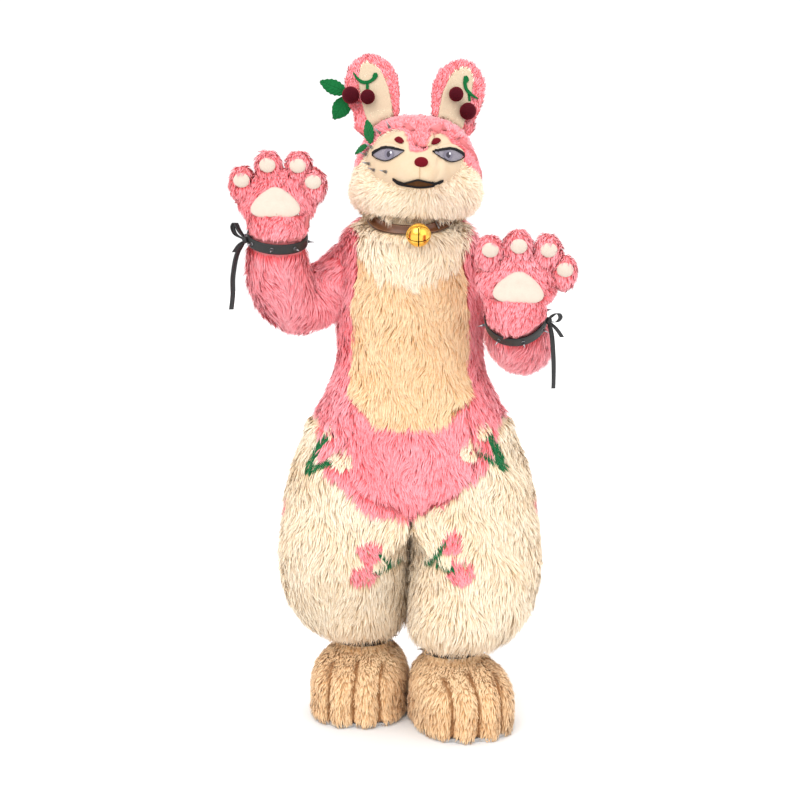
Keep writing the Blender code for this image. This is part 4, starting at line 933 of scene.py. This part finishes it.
for side, line in earLines.items():
    cores["ear" + side] = [line]
    upwards = Vector(line[1]) - Vector(line[0])
    b = merged("ear_" + side)
    bmesh.ops.subdivide_edges(b, edges=b.edges, cuts=1, smooth=0.8, use_grid_fill=True)
    bmesh.ops.triangulate(b, faces=b.faces)
    b.normal_update()
    for vert in b.verts:
        vert.co -= vert.normal * earInset
    b.normal_update()
    earSkins[side] = tree(b)
    skin = skinArrays(b)
    shell = fromBmesh("ear_" + side + "_cloth", b, backings["pink"])
    markZone(shell, earZone(side))
    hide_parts("ear_" + side)
    panel, panelSkin = earPanel(side)
    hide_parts("ear_" + side + "_inner")

    look = {**earPile, "length": 0.011, "flow": towards(*upwards), "width": 0.0028,
            "tuft": 0.0002, "lift": 0.45, "shade": earZone(side)}
    growFur("ear_" + side + "_pile", skin, furs["pink"], look, 40)[0]
    look = {**earPile, "length": 0.005, "flow": towards(*upwards), "width": 0.0024,
            "tuft": 0.0003}
    growFur("ear_" + side + "_panel_pile", panelSkin, furs["cream"], look, 44)[0]
print("ears done")

# Velvet cherries on felt stems, sewn to the ears.
stemStops = {
    "left": [(-0.160, 0.478, 0.003), (-0.150, 0.462, 0.007), (-0.135, 0.451, 0.010),
             (-0.118, 0.451, 0.009), (-0.104, 0.459, 0.010), (-0.099, 0.468, 0.015),
             (-0.099, 0.476, 0.008)],
    "right": [(0.155, 0.468, 0.008), (0.157, 0.458, 0.016), (0.154, 0.448, 0.010),
              (0.157, 0.434, 0.009), (0.166, 0.422, 0.010), (0.180, 0.412, 0.007),
              (0.192, 0.406, 0.003)],
}
stemLegs = {"left": [(-0.121, 0.448), (-0.121, 0.428)],
            "right": [(0.166, 0.420), (0.168, 0.398)]}
for side, stops in stemStops.items():
    line = wave([(x, 0.0, z) for x, z, _ in stops])
    widths = [width for _, _, width in stops]

    def stemPlace(u, v):
        middle = line(v)
        along = (line(min(v + 0.02, 1.0)) - line(max(v - 0.02, 0.0))).normalized()
        wide = float(np.interp(v, np.linspace(0, 1, len(widths)), widths))
        x = middle.x - along.z * wide * (u - 0.5)
        z = middle.z + along.x * wide * (u - 0.5)
        return onSkin(earSkins[side], x, z, 0.007)

    made = surfacePiece("ear_" + side + "_stem_felt", stemPlace, 6, 40, leafFelt, 0.0022)
    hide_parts("ear_" + side + "_stem")
    top, low = stemLegs[side]
    leg = surfacePiece(
        "ear_" + side + "_stem_leg",
        lambda u, v: onSkin(earSkins[side], top[0] + (low[0] - top[0]) * v + (u - 0.5) * 0.008,
                            top[1] + (low[1] - top[1]) * v, 0.007), 4, 6, leafFelt, 0.0022)
    for i in (1, 2):
        node = f"ear_{side}_cherry_{i}"
        low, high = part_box(node)
        radius = (high[0] - low[0]) / 2
        centre = ((low[0] + high[0]) / 2, low[1] + radius, (low[2] + high[2]) / 2)
        cherry = ball(node + "_velvet", centre, (radius,) * 3, cherryVelvet, shape=lambda p: p * (
            1 - 0.03 * math.sin(5 * math.atan2(p.x, p.z)) * abs(p.y)))
        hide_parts(node)

# Felt leaves with pressed ribs: base, tip, half width, and the way the face looks.
leaves = {
    "ear_leaf_upper": [(-0.1805, 0.025, 0.4224), (-0.2565, 0.023, 0.4544), 0.021, (0, -1, 0)],
    "ear_leaf_lower": [(-0.1765, 0.035, 0.4104), (-0.2205, 0.035, 0.3484), 0.026, (0, -1, 0)],
    "temple_leaf_upper": [(-0.104, -0.112, 0.272), (-0.118, -0.085, 0.336), 0.0195,
                          (-0.732, -0.35, 0.584)],
    "temple_leaf_lower": [(-0.116, -0.120, 0.262), (-0.150, -0.092, 0.240), 0.0125,
                          (-0.854, -0.403, 0.328)],
}
for node, (base, tip, half, facing) in leaves.items():
    low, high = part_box(node)
    middle = (Vector(low) + Vector(high)) / 2
    along = Vector(tip) - Vector(base)
    across = along.cross(Vector(facing)).normalized()
    out = across.cross(along).normalized()
    start = middle - along / 2 + out * (0.007 if node.startswith("temple") else 0.0)

    def leafPlace(u, v):
        side = u * 2 - 1
        width = half * math.sin(math.pi * min(1.0, v * 0.94 + 0.05)) ** 0.8
        width *= 1 + 0.03 * math.sin(v * 40)
        rib = math.sin((v * 7 - abs(side) * 1.6) * 2 * math.pi) * 0.0007 * min(1, abs(side) * 4)
        rise = (0.0030 * math.sin(math.pi * v) - 0.10 * width * abs(side) + rib
                - 0.0015 * math.exp(-(side / 0.07) ** 2))
        return start + along * v + across * width * side + out * (rise + 0.0015)

    made = surfacePiece(node + "_felt", leafPlace, 28, 60, leafFelt, 0.0024)
    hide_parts(node)
print("cherries and leaves done")

# The face: everything on it is laid on the head's own cloth, seen from the front.
headSkin = bmesh.new()
for node in ("head_face", "head_crown"):
    part = outerSheet(node, "head", 0.003, 1)
    mesh = bpy.data.meshes.new("skinPart")
    part.to_mesh(mesh)
    part.free()
    headSkin.from_mesh(mesh)
    bpy.data.meshes.remove(mesh)
headTree = tree(headSkin)
headSkin.free()


def smoothCurve(table, column, u, reach=0.06):
    return sum(curve(table, column, u + k * reach / 3) for k in range(-3, 4)) / 7


def facePiece(name, middle, half, table, material, out, thick, across=40, up=10, puff=0.0,
              node=None, flip=1.0):
    # Rows of table: place across from -1 to 1, upper edge and lower edge in metres.
    def place(u, v):
        wide = u * 2 - 1
        upper = smoothCurve(table, 1, wide * flip)
        lower = smoothCurve(table, 2, wide * flip)
        rise = out + puff * math.sqrt(max(0.0, 4 * v * (1 - v))) * math.sqrt(
            max(0.0, 1 - wide * wide))
        return onSkin(headTree, middle[0] + half * wide,
                      middle[1] + lower + (upper - lower) * v, rise)

    made = surfacePiece(name, place, across, up, material, thick)
    if node:
        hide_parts(node)
    return made


eyeTable = [(-1, 0.004, 0.000), (-0.8, 0.010, -0.009), (-0.4, 0.0165, -0.0165),
            (-0.1, 0.018, -0.019), (0.3, 0.0150, -0.0145), (0.7, 0.0105, -0.004), (1, 0.007, 0.006)]
lashTable = [(-1, 0.0065, -0.0035), (-0.85, 0.012, 0.004), (-0.4, 0.0205, 0.0135),
             (-0.1, 0.0215, 0.0155), (0.3, 0.0185, 0.0120), (0.7, 0.0135, 0.0080),
             (1, 0.0085, 0.0065)]
lowLashTable = [(-1, 0.001, -0.003), (-0.8, -0.0085, -0.0110), (-0.4, -0.0163, -0.0183),
                (-0.1, -0.0187, -0.0203), (0.2, -0.0157, -0.0168), (0.6, -0.0060, -0.0066),
                (1, 0.0055, 0.0050)]
lidTable = [(-1, 0.008, 0.004), (-0.85, 0.018, 0.010), (-0.4, 0.029, 0.019),
            (-0.1, 0.031, 0.0205), (0.3, 0.027, 0.0175), (0.7, 0.019, 0.0130),
            (1, 0.0095, 0.008)]
browTable = [(-1, 0.003, 0.001), (-0.6, 0.0085, -0.0045), (0, 0.0100, -0.0090),
             (0.6, 0.0060, -0.0105), (1, -0.002, -0.005)]
irisParts = [
    ("iris", 0.0, 0.0, 0.0125, 0.0140, 0.0040,
     plainPaint("irisPrint", (0.10, 0.09, 0.12), (0.26, 0.24, 0.30), 0.45, 1500.0)),
    ("pupil", 0.0, 0.0, 0.0062, 0.0085, 0.0044,
     plainPaint("pupilPrint", (0.02, 0.018, 0.026), (0.07, 0.06, 0.08), 0.45, 1500.0)),
    # The glint is a painted highlight, not a print.
    ("glint", 0.0045, 0.0045, 0.0026, 0.0034, 0.0048,
     plainPaint("paintedGlint", (0.62, 0.62, 0.70), (0.82, 0.82, 0.90), 0.4, 1500.0)),
]
eyeHalf, lashHalf = 0.041, 0.041 * 1.06
eyes = {"left": {"at": (-0.060, 0.237), "flip": 1.0, "brow": (-0.031, 0.274)},
        "right": {"at": (0.103, 0.234), "flip": -1.0, "brow": (0.069, 0.271)}}
for side, eye in eyes.items():
    facePiece(f"eye_{side}_mesh", eye["at"], eyeHalf, eyeTable, eyeMesh, 0.0025, 0.001,
              node=f"eye_{side}", flip=eye["flip"])
    for name, table in (("lash", lashTable), ("low_lash", lowLashTable)):
        facePiece(f"eye_{side}_{name}", eye["at"], lashHalf, table, lashFelt, 0.0050,
                  0.002, up=4, flip=eye["flip"])
    facePiece(f"eye_{side}_lid", eye["at"], lashHalf, lidTable, lidFleece, 0.0025,
              0.003, puff=0.004, flip=eye["flip"])
    facePiece(f"brow_{side}_velvet", eye["brow"], 0.0130, browTable, noseVelvet, 0.003, 0.0015,
              puff=0.0035, node=f"brow_{side}", across=20,
              flip=eye["flip"])
    # A darker oval iris, its pupil and a small painted highlight lie on the mesh.
    for part, across, rise, wide, tall, out, paint in irisParts:
        b = bmesh.new()
        bmesh.ops.create_circle(b, cap_ends=True, cap_tris=True, segments=40, radius=1.0)
        for vert in b.verts:
            x, z = vert.co.x * wide + across, vert.co.y * tall + rise
            vert.co = onSkin(headTree, eye["at"][0] + 0.003 * eye["flip"] + x,
                             eye["at"][1] - 0.001 + z, out)
        fromBmesh(f"eye_{side}_{part}", b, paint)

mouthTable = [(-1, 0.0125, 0.0085), (-0.8, 0.0040, -0.0040), (-0.55, -0.0010, -0.0080),
              (-0.25, 0.0035, -0.0110), (0, 0.0080, -0.0135), (0.3, 0.0035, -0.0130),
              (0.65, -0.0015, -0.0095), (0.85, 0.0015, -0.0025), (1, 0.0065, 0.0040)]
mouthPlace = (0.019, 0.160)
facePiece("mouth_felt_inside", mouthPlace, 0.064, mouthTable, mouthFelt, 0.0030, 0.001,
          node="mouth", across=48)
lips = {"upper": [(u, top + 0.0012, top - 0.0038) for u, top, low in mouthTable],
        "lower": [(u, low + 0.0036, low - 0.0014) for u, top, low in mouthTable]}
for name, table in lips.items():
    facePiece(f"mouth_{name}_lip", mouthPlace, 0.0665, table, lashFelt, 0.0045, 0.002,
              across=60, up=4, puff=0.0012)
facePiece("mouth_seam", (0.0235, 0.172), 0.0007, [(-1, 0.026, -0.004), (1, 0.026, -0.004)],
          plainPaint("seamThread", (0.42, 0.26, 0.13), (0.55, 0.36, 0.20), 0.9), 0.0026, 0.0006,
          across=2, up=20)
nose = onSkin(headTree, 0.028, 0.212)
made = ball("nose_velvet", nose + Vector((0, -0.003, 0)), (0.0185, 0.0125, 0.0145), noseVelvet,
            shape=lambda p: Vector((p.x * (1 + 0.16 * p.z), p.y, p.z - 0.12 * p.x * p.x)))
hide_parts("nose")

spikeSpots = [(-0.057, 0.312), (-0.084, 0.296), (-0.108, 0.260), (-0.121, 0.238),
              (-0.115, 0.213), (-0.100, 0.197), (-0.068, 0.190)]
for i, (x, z) in enumerate(spikeSpots):
    spot, out, _, _ = headTree.ray_cast(Vector((x, -1, z)), Vector((0, 1, 0)))
    b = bmesh.new()
    # The cone ends at the CAD spike's own tip and keeps its length and radius.
    solid = merged(f"face_spike_{i + 1}")
    tip = max((vert.co.copy() for vert in solid.verts), key=lambda place: place.dot(out))
    solid.free()
    spike(b, tip - out * spikeSize["face"], out, spikeSize["face"], spikeSize["radius"])
    made = fromBmesh(f"face_spike_{i + 1}_cone", b, silver)
    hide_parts(f"face_spike_{i + 1}")
print("face done")

# The paws' pads.
for side, hand in hands.items():
    turn = Matrix((hand["across"], hand["forward"], hand["up"])).transposed()
    palm = ball(f"palm_pad_{side}_fleece", handPlace(hand, 0.0, 0.076, 0.052),
                (0.064, 0.017, 0.042), padFleece, turn, 48,
                shape=lambda p: Vector((p.x * (1 - 0.34 * p.z),
                                        p.y + max(0.0, 0.15 - p.z) * 0.95,
                                        p.z - 0.14 * p.x * p.x)))
    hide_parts(f"palm_pad_{side}")
    for i, (across, up, forward, radius) in enumerate(hand["lobes"]):
        pad = ball(f"finger_pad_{side}_{i + 1}",
                   handPlace(hand, across, up - 0.004, forward + 0.84 * radius),
                   (0.0225, 0.0095, 0.0195), padFleece, turn, 32)
print("pads done")

# Straps: smooth bands round the sleeve ends and ankles with turned metal spikes. A spike's tip
# is a vertex of the CAD's strap that lies further out than tipReach.
band = {"around": 96, "along": 8, "thick": 0.0032, "rounded": 0.0012}
tipReach = {"wrist": 0.0965, "ankle": 0.108}


def bandPlace(start, end, first, second, radius):
    def place(u, v):
        turn = u * 2 * math.pi
        edge = band["rounded"] * abs(v * 2 - 1) ** 6
        return (start.lerp(end, v) + (first * math.cos(turn) + second * math.sin(turn))
                * (radius - edge))

    return place


def strap(node, ends, first, second, radius):
    made = surfacePiece(node + "_leather", bandPlace(*ends, first, second, radius),
                        band["around"], band["along"], blackLeather, band["thick"])
    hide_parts(node)


def spikeTips(node, start, axis, reach, apart):
    # The vertices at the tips of a CAD strap's spikes, and the way out to each.
    b = merged(node)
    found = []
    for vert in b.verts:
        off = vert.co - start
        out = off - axis * off.dot(axis)
        if out.length > reach and all((out - other).length > apart for _, other in found):
            found.append((vert.co.copy(), out))
    b.free()
    return found


for side, ends in wrists.items():
    start, end = ends = [Vector(point) for point in ends]
    axis = (end - start).normalized()
    first = axis.orthogonal().normalized()
    strap(f"cuff_{side}", ends, first, axis.cross(first), bandRadius["wrist"])
    b = bmesh.new()
    for _, out in spikeTips(f"cuff_{side}", start, axis, tipReach["wrist"], 0.010):
        height = (end - start).length * 0.5
        spike(b, start + axis * height + out.normalized() * (bandRadius["wrist"] - 0.0005),
              out.normalized(), spikeSize["strap"], spikeSize["radius"])
    fromBmesh(f"cuff_{side}_spikes", b, silver)

ankleLevels = (0.1906 + floorHeight, 0.2162 + floorHeight)
for side, foot in feet.items():
    ends = [Vector((*foot["ankle"], level)) for level in ankleLevels]
    axis = Vector((0, 0, 1))
    b = bmesh.new()
    for tip, out in spikeTips(f"ankle_cuff_{side}", ends[0], axis, tipReach["ankle"], 0.012):
        way = out.normalized()
        spike(b, tip - way * spikeSize["strap"], way, spikeSize["strap"], spikeSize["radius"])
    strap(f"ankle_cuff_{side}", ends, Vector((1, 0, 0)), Vector((0, 1, 0)), bandRadius["ankle"])
    fromBmesh(f"ankle_cuff_{side}_spikes", b, silver)
print("straps done")

# Satin ribbons tied round the wrist straps; points are measured from the knot.
ribbons = {
    "left": {"knot": (-0.4539, -0.182, 0.0056), "strips": [
        [(0, -0.004, 0.003), (-0.016, -0.006, 0.026), (-0.026, -0.008, 0.046),
         (-0.034, -0.004, 0.034), (-0.026, 0, 0.014), (-0.003, 0.003, 0.002)],
        [(0, -0.002, -0.003), (-0.016, -0.008, -0.014), (-0.030, -0.008, -0.034)],
        [(0, 0.002, -0.002), (-0.024, 0.008, -0.040), (-0.036, 0.004, -0.100),
         (-0.038, 0.010, -0.150), (-0.042, 0.006, -0.192)]]},
    "right": {"knot": (0.3697, -0.2957, -0.2094), "strips": [
        [(0, -0.004, 0.003), (0.012, -0.008, 0.016), (0.024, -0.010, 0.020),
         (0.030, -0.006, 0.008), (0.020, 0, -0.004), (0.003, 0.003, -0.002)],
        [(0, -0.002, -0.003), (0.018, -0.008, -0.020), (0.036, -0.008, -0.044)],
        [(0, 0.002, -0.002), (0.010, 0.008, -0.040), (0.014, 0.004, -0.100),
         (0.016, 0.010, -0.150), (0.016, 0.006, -0.184)]]},
}
ribbonWay = Vector((0.87, 0.50, 0)).normalized()
for side, ribbon in ribbons.items():
    b = bmesh.new()
    knot = Vector(ribbon["knot"])
    total = 0.0
    for strip in ribbon["strips"]:
        line = wave(strip)
        total += sum((Vector(c) - Vector(a)).length for a, c in zip(strip, strip[1:]))
        size = len(b.verts)
        bmesh.ops.create_grid(b, x_segments=4, y_segments=12 * len(strip), size=0.5)
        b.verts.ensure_lookup_table()
        for vert in b.verts[size:]:
            u, v = vert.co.x, vert.co.y + 0.5
            pinch = 0.45 + 0.55 * smoothStep(0.0, 0.16, v)
            cup = 0.0016 * math.cos(u * math.pi * 2.4 + v * 5)
            vert.co = (knot + line(v) + ribbonWay * (0.0145 * u * pinch)
                       + Vector((0.5, -0.87, 0)) * cup)
    bmesh.ops.recalc_face_normals(b, faces=b.faces)
    made = fromBmesh(f"ribbon_{side}_satin", b, blackSatin)
    modifier(made, "SOLIDIFY", thickness=0.0008, offset=0.0)
    tied = ball(f"ribbon_{side}_knot", knot, (0.009, 0.008, 0.010), blackSatin,
                shape=lambda p: p * (1 + 0.06 * math.sin(6 * p.x + 4 * p.z)))
    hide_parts(f"ribbon_{side}")
print("ribbons done")

# The collar goes round the trunk's neck; its rings as height, half width, front, back, rise.
neckRings = [(1.455, 0.160, 0.135, 0.110, 0.26), (1.470, 0.122, 0.132, 0.100, 0.36),
             (1.484, 0.103, 0.130, 0.088, 0.40), (1.505, 0.098, 0.128, 0.081, 0.40)]
collarLow, collarHigh = 1.4705, 1.4985


def collarPlace(u, v, out=0.0):
    level = collarLow + (collarHigh - collarLow) * v
    half, front, back, rise = (float(curve(neckRings, i, level)) for i in range(1, 5))
    turn = (u * 2 - 1) * math.pi
    s, c = math.sin(turn), math.cos(turn)
    power = 2 / 2.3
    x = (half + out) * math.copysign(abs(s) ** power, s)
    y = -((front if c > 0 else back) + out) * math.copysign(abs(c) ** power, c)
    return Vector((x, y, level + rise * y - shoulderHeight))


def strapPaint():
    paint = Paint("collarLeather", roughness=0.42, coat=0.12)
    u, v, _ = paint.split(paint.node("ShaderNodeUVMap", {"uv_map": "cloth"}))
    grain = paint.pattern("Voronoi", 600.0)
    wear = paint.noise(45.0, 3.0)
    rim = abs(v - 0.5)
    stitch = (rim > 0.36) * (rim < 0.40) * ((u * 900.0).sine() > -0.3)
    leather = paint.mix(wear, (0.075, 0.022, 0.006), (0.17, 0.058, 0.014))
    leather = paint.mix(rim > 0.46, leather, (0.06, 0.016, 0.005))
    paint.set("Base Color", paint.mix(stitch, leather, (0.30, 0.15, 0.06)))
    paint.bump(grain * 0.4 + stitch, 0.5, 0.0006)
    return paint.material


collar = surfacePiece("collar_leather", lambda u, v: collarPlace(u, v, 0.0042), 144, 10,
                      strapPaint(), 0.0034)
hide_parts("collar")


def ring(name, at, way, big, small, material, body="suit"):
    way = Vector(way).normalized()
    first = way.orthogonal().normalized()
    second = way.cross(first)

    def place(u, v):
        a, c = u * 2 * math.pi, v * 2 * math.pi
        out = first * math.cos(a) + second * math.sin(a)
        return Vector(at) + out * (big + small * math.cos(c)) + way * small * math.sin(c)

    made = surfacePiece(name, place, 32, 12, material, body=body)
    return made


for i, degrees in enumerate((50, 57, 64, 71)):
    u = degrees / 360 + 0.5
    spot = collarPlace(u, 0.5, 0.0045)
    out = (collarPlace(u, 0.5, 0.02) - spot).normalized()
    ring(f"collar_eyelet_{i + 1}", spot, out, 0.0048, 0.0014, silver)

# The bell hangs from its pin: a two-part ball with a cross of slits at its far end.
bellPin = Vector((0.022, -0.140, 0.041))
lean = math.radians(56.0)
hang = Vector((0, -math.sin(lean), -math.cos(lean)))
bellSpin = Vector((0, 0, -1)).rotation_difference(hang).to_matrix()
bellCentre = bellPin + hang * 0.0405
bellSize = {"radius": 0.033, "wall": 0.0012, "slit": 0.0015, "slitFrom": -0.012}


def bellShell(name, radius, material, slits):
    b = bmesh.new()
    bmesh.ops.create_uvsphere(b, u_segments=64, v_segments=32, radius=radius)
    if slits:
        half = bellSize["slit"]
        for way in (Vector((1, 0, 0)), Vector((0, 1, 0))):
            for side in (-half, half):
                bmesh.ops.bisect_plane(b, geom=b.verts[:] + b.edges[:] + b.faces[:],
                                       plane_co=way * side, plane_no=way)
        bmesh.ops.bisect_plane(b, geom=b.verts[:] + b.edges[:] + b.faces[:],
                               plane_co=Vector((0, 0, bellSize["slitFrom"])),
                               plane_no=Vector((0, 0, 1)))
        inside = [face for face in b.faces if face.calc_center_median().z < bellSize["slitFrom"]
                  and min(abs(face.calc_center_median().x),
                          abs(face.calc_center_median().y)) < half]
        bmesh.ops.delete(b, geom=inside, context="FACES")
    for vert in b.verts:
        vert.co = bellCentre + bellSpin @ vert.co
    made = fromBmesh(name, b, material, "bell")
    return made


shell = bellShell("bell_shell", bellSize["radius"], brass, True)
modifier(shell, "SOLIDIFY", thickness=bellSize["wall"], offset=-1.0)
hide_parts("bell")
# The near-black inner shell is painted shade: the bell's dark hollow seen through the slits.
paintedShadeBrass = metalPaint("paintedShadeBrass", (0.02, 0.012, 0.004), (0.05, 0.03, 0.01), 0.6)
bellShell("bell_inside", bellSize["radius"] - 0.0016, paintedShadeBrass, False)
ring("bell_rim", bellCentre, hang, bellSize["radius"] + 0.0002, 0.0013, brass, "bell")
ring("bell_eye", bellPin, (1, 0, 0), 0.0033, 0.0010, brass, "bell")
b = bmesh.new()
bmesh.ops.create_cone(b, segments=24, radius1=0.0052, radius2=0.0020, depth=0.005,
                      cap_ends=True)
for vert in b.verts:
    vert.co = bellPin + hang * 0.0058 + bellSpin @ vert.co
fromBmesh("bell_neck", b, brass, "bell")

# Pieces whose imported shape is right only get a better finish.
for node, material in (("buckle", silver), ("bell_hanger", silver), ("sole_left", soleRubber),
                       ("sole_right", soleRubber)):
    nodes[node].data.materials.clear()
    nodes[node].data.materials.append(material)
print("collar and bell done")

# The stage: a pale floor, soft lights, and the camera at the photo's angle.
floorPaint = Paint("paleFloor", roughness=0.85)
cloud = floorPaint.noise(1.5, 3.0)
floorPaint.set("Base Color", floorPaint.mix(cloud, grey(0.80), grey(0.86)))
b = bmesh.new()
bmesh.ops.create_grid(b, x_segments=1, y_segments=1, size=30.0)
for vert in b.verts:
    vert.co.z = floorHeight - 0.0005
floorMesh = bpy.data.meshes.new("floor")
b.to_mesh(floorMesh)
b.free()
floorMesh.materials.append(floorPaint.material)
placed("floor", floorMesh)

lamps = [
    {"from": (-1.4, -2.6, 2.6), "angle": 50, "power": 1.8, "colour": (1.0, 0.98, 0.96)},
    {"from": (2.6, -2.2, 1.2), "angle": 60, "power": 0.7, "colour": (0.97, 0.98, 1.0)},
    {"from": (0.4, 3.0, 2.6), "angle": 50, "power": 1.0, "colour": (1.0, 1.0, 1.0)},
]
for lamp in lamps:
    data = bpy.data.lights.new("softLight", "SUN")
    data.energy, data.color = lamp["power"], lamp["colour"]
    data.angle = math.radians(lamp["angle"])
    light = placed("softLight", data)
    light.location = lamp["from"]
    light.rotation_euler = Vector(lamp["from"]).to_track_quat("Z", "Y").to_euler()
world = bpy.data.worlds.new("studio")
world.use_nodes = True
world.node_tree.nodes["Background"].inputs["Color"].default_value = (1.0, 1.0, 1.0, 1.0)
world.node_tree.nodes["Background"].inputs["Strength"].default_value = 1.10
bpy.context.scene.world = world
bpy.context.scene.view_settings.view_transform = "Standard"

lens = bpy.data.cameras.new("photoCamera")
lens.lens, lens.sensor_width = 60.5, 36.0
camera = placed("photoCamera", lens)
camera.location = (-0.029, -3.9, 0.02)
camera.rotation_euler = (math.radians(82.98), 0, 0)
bpy.context.scene.camera = camera
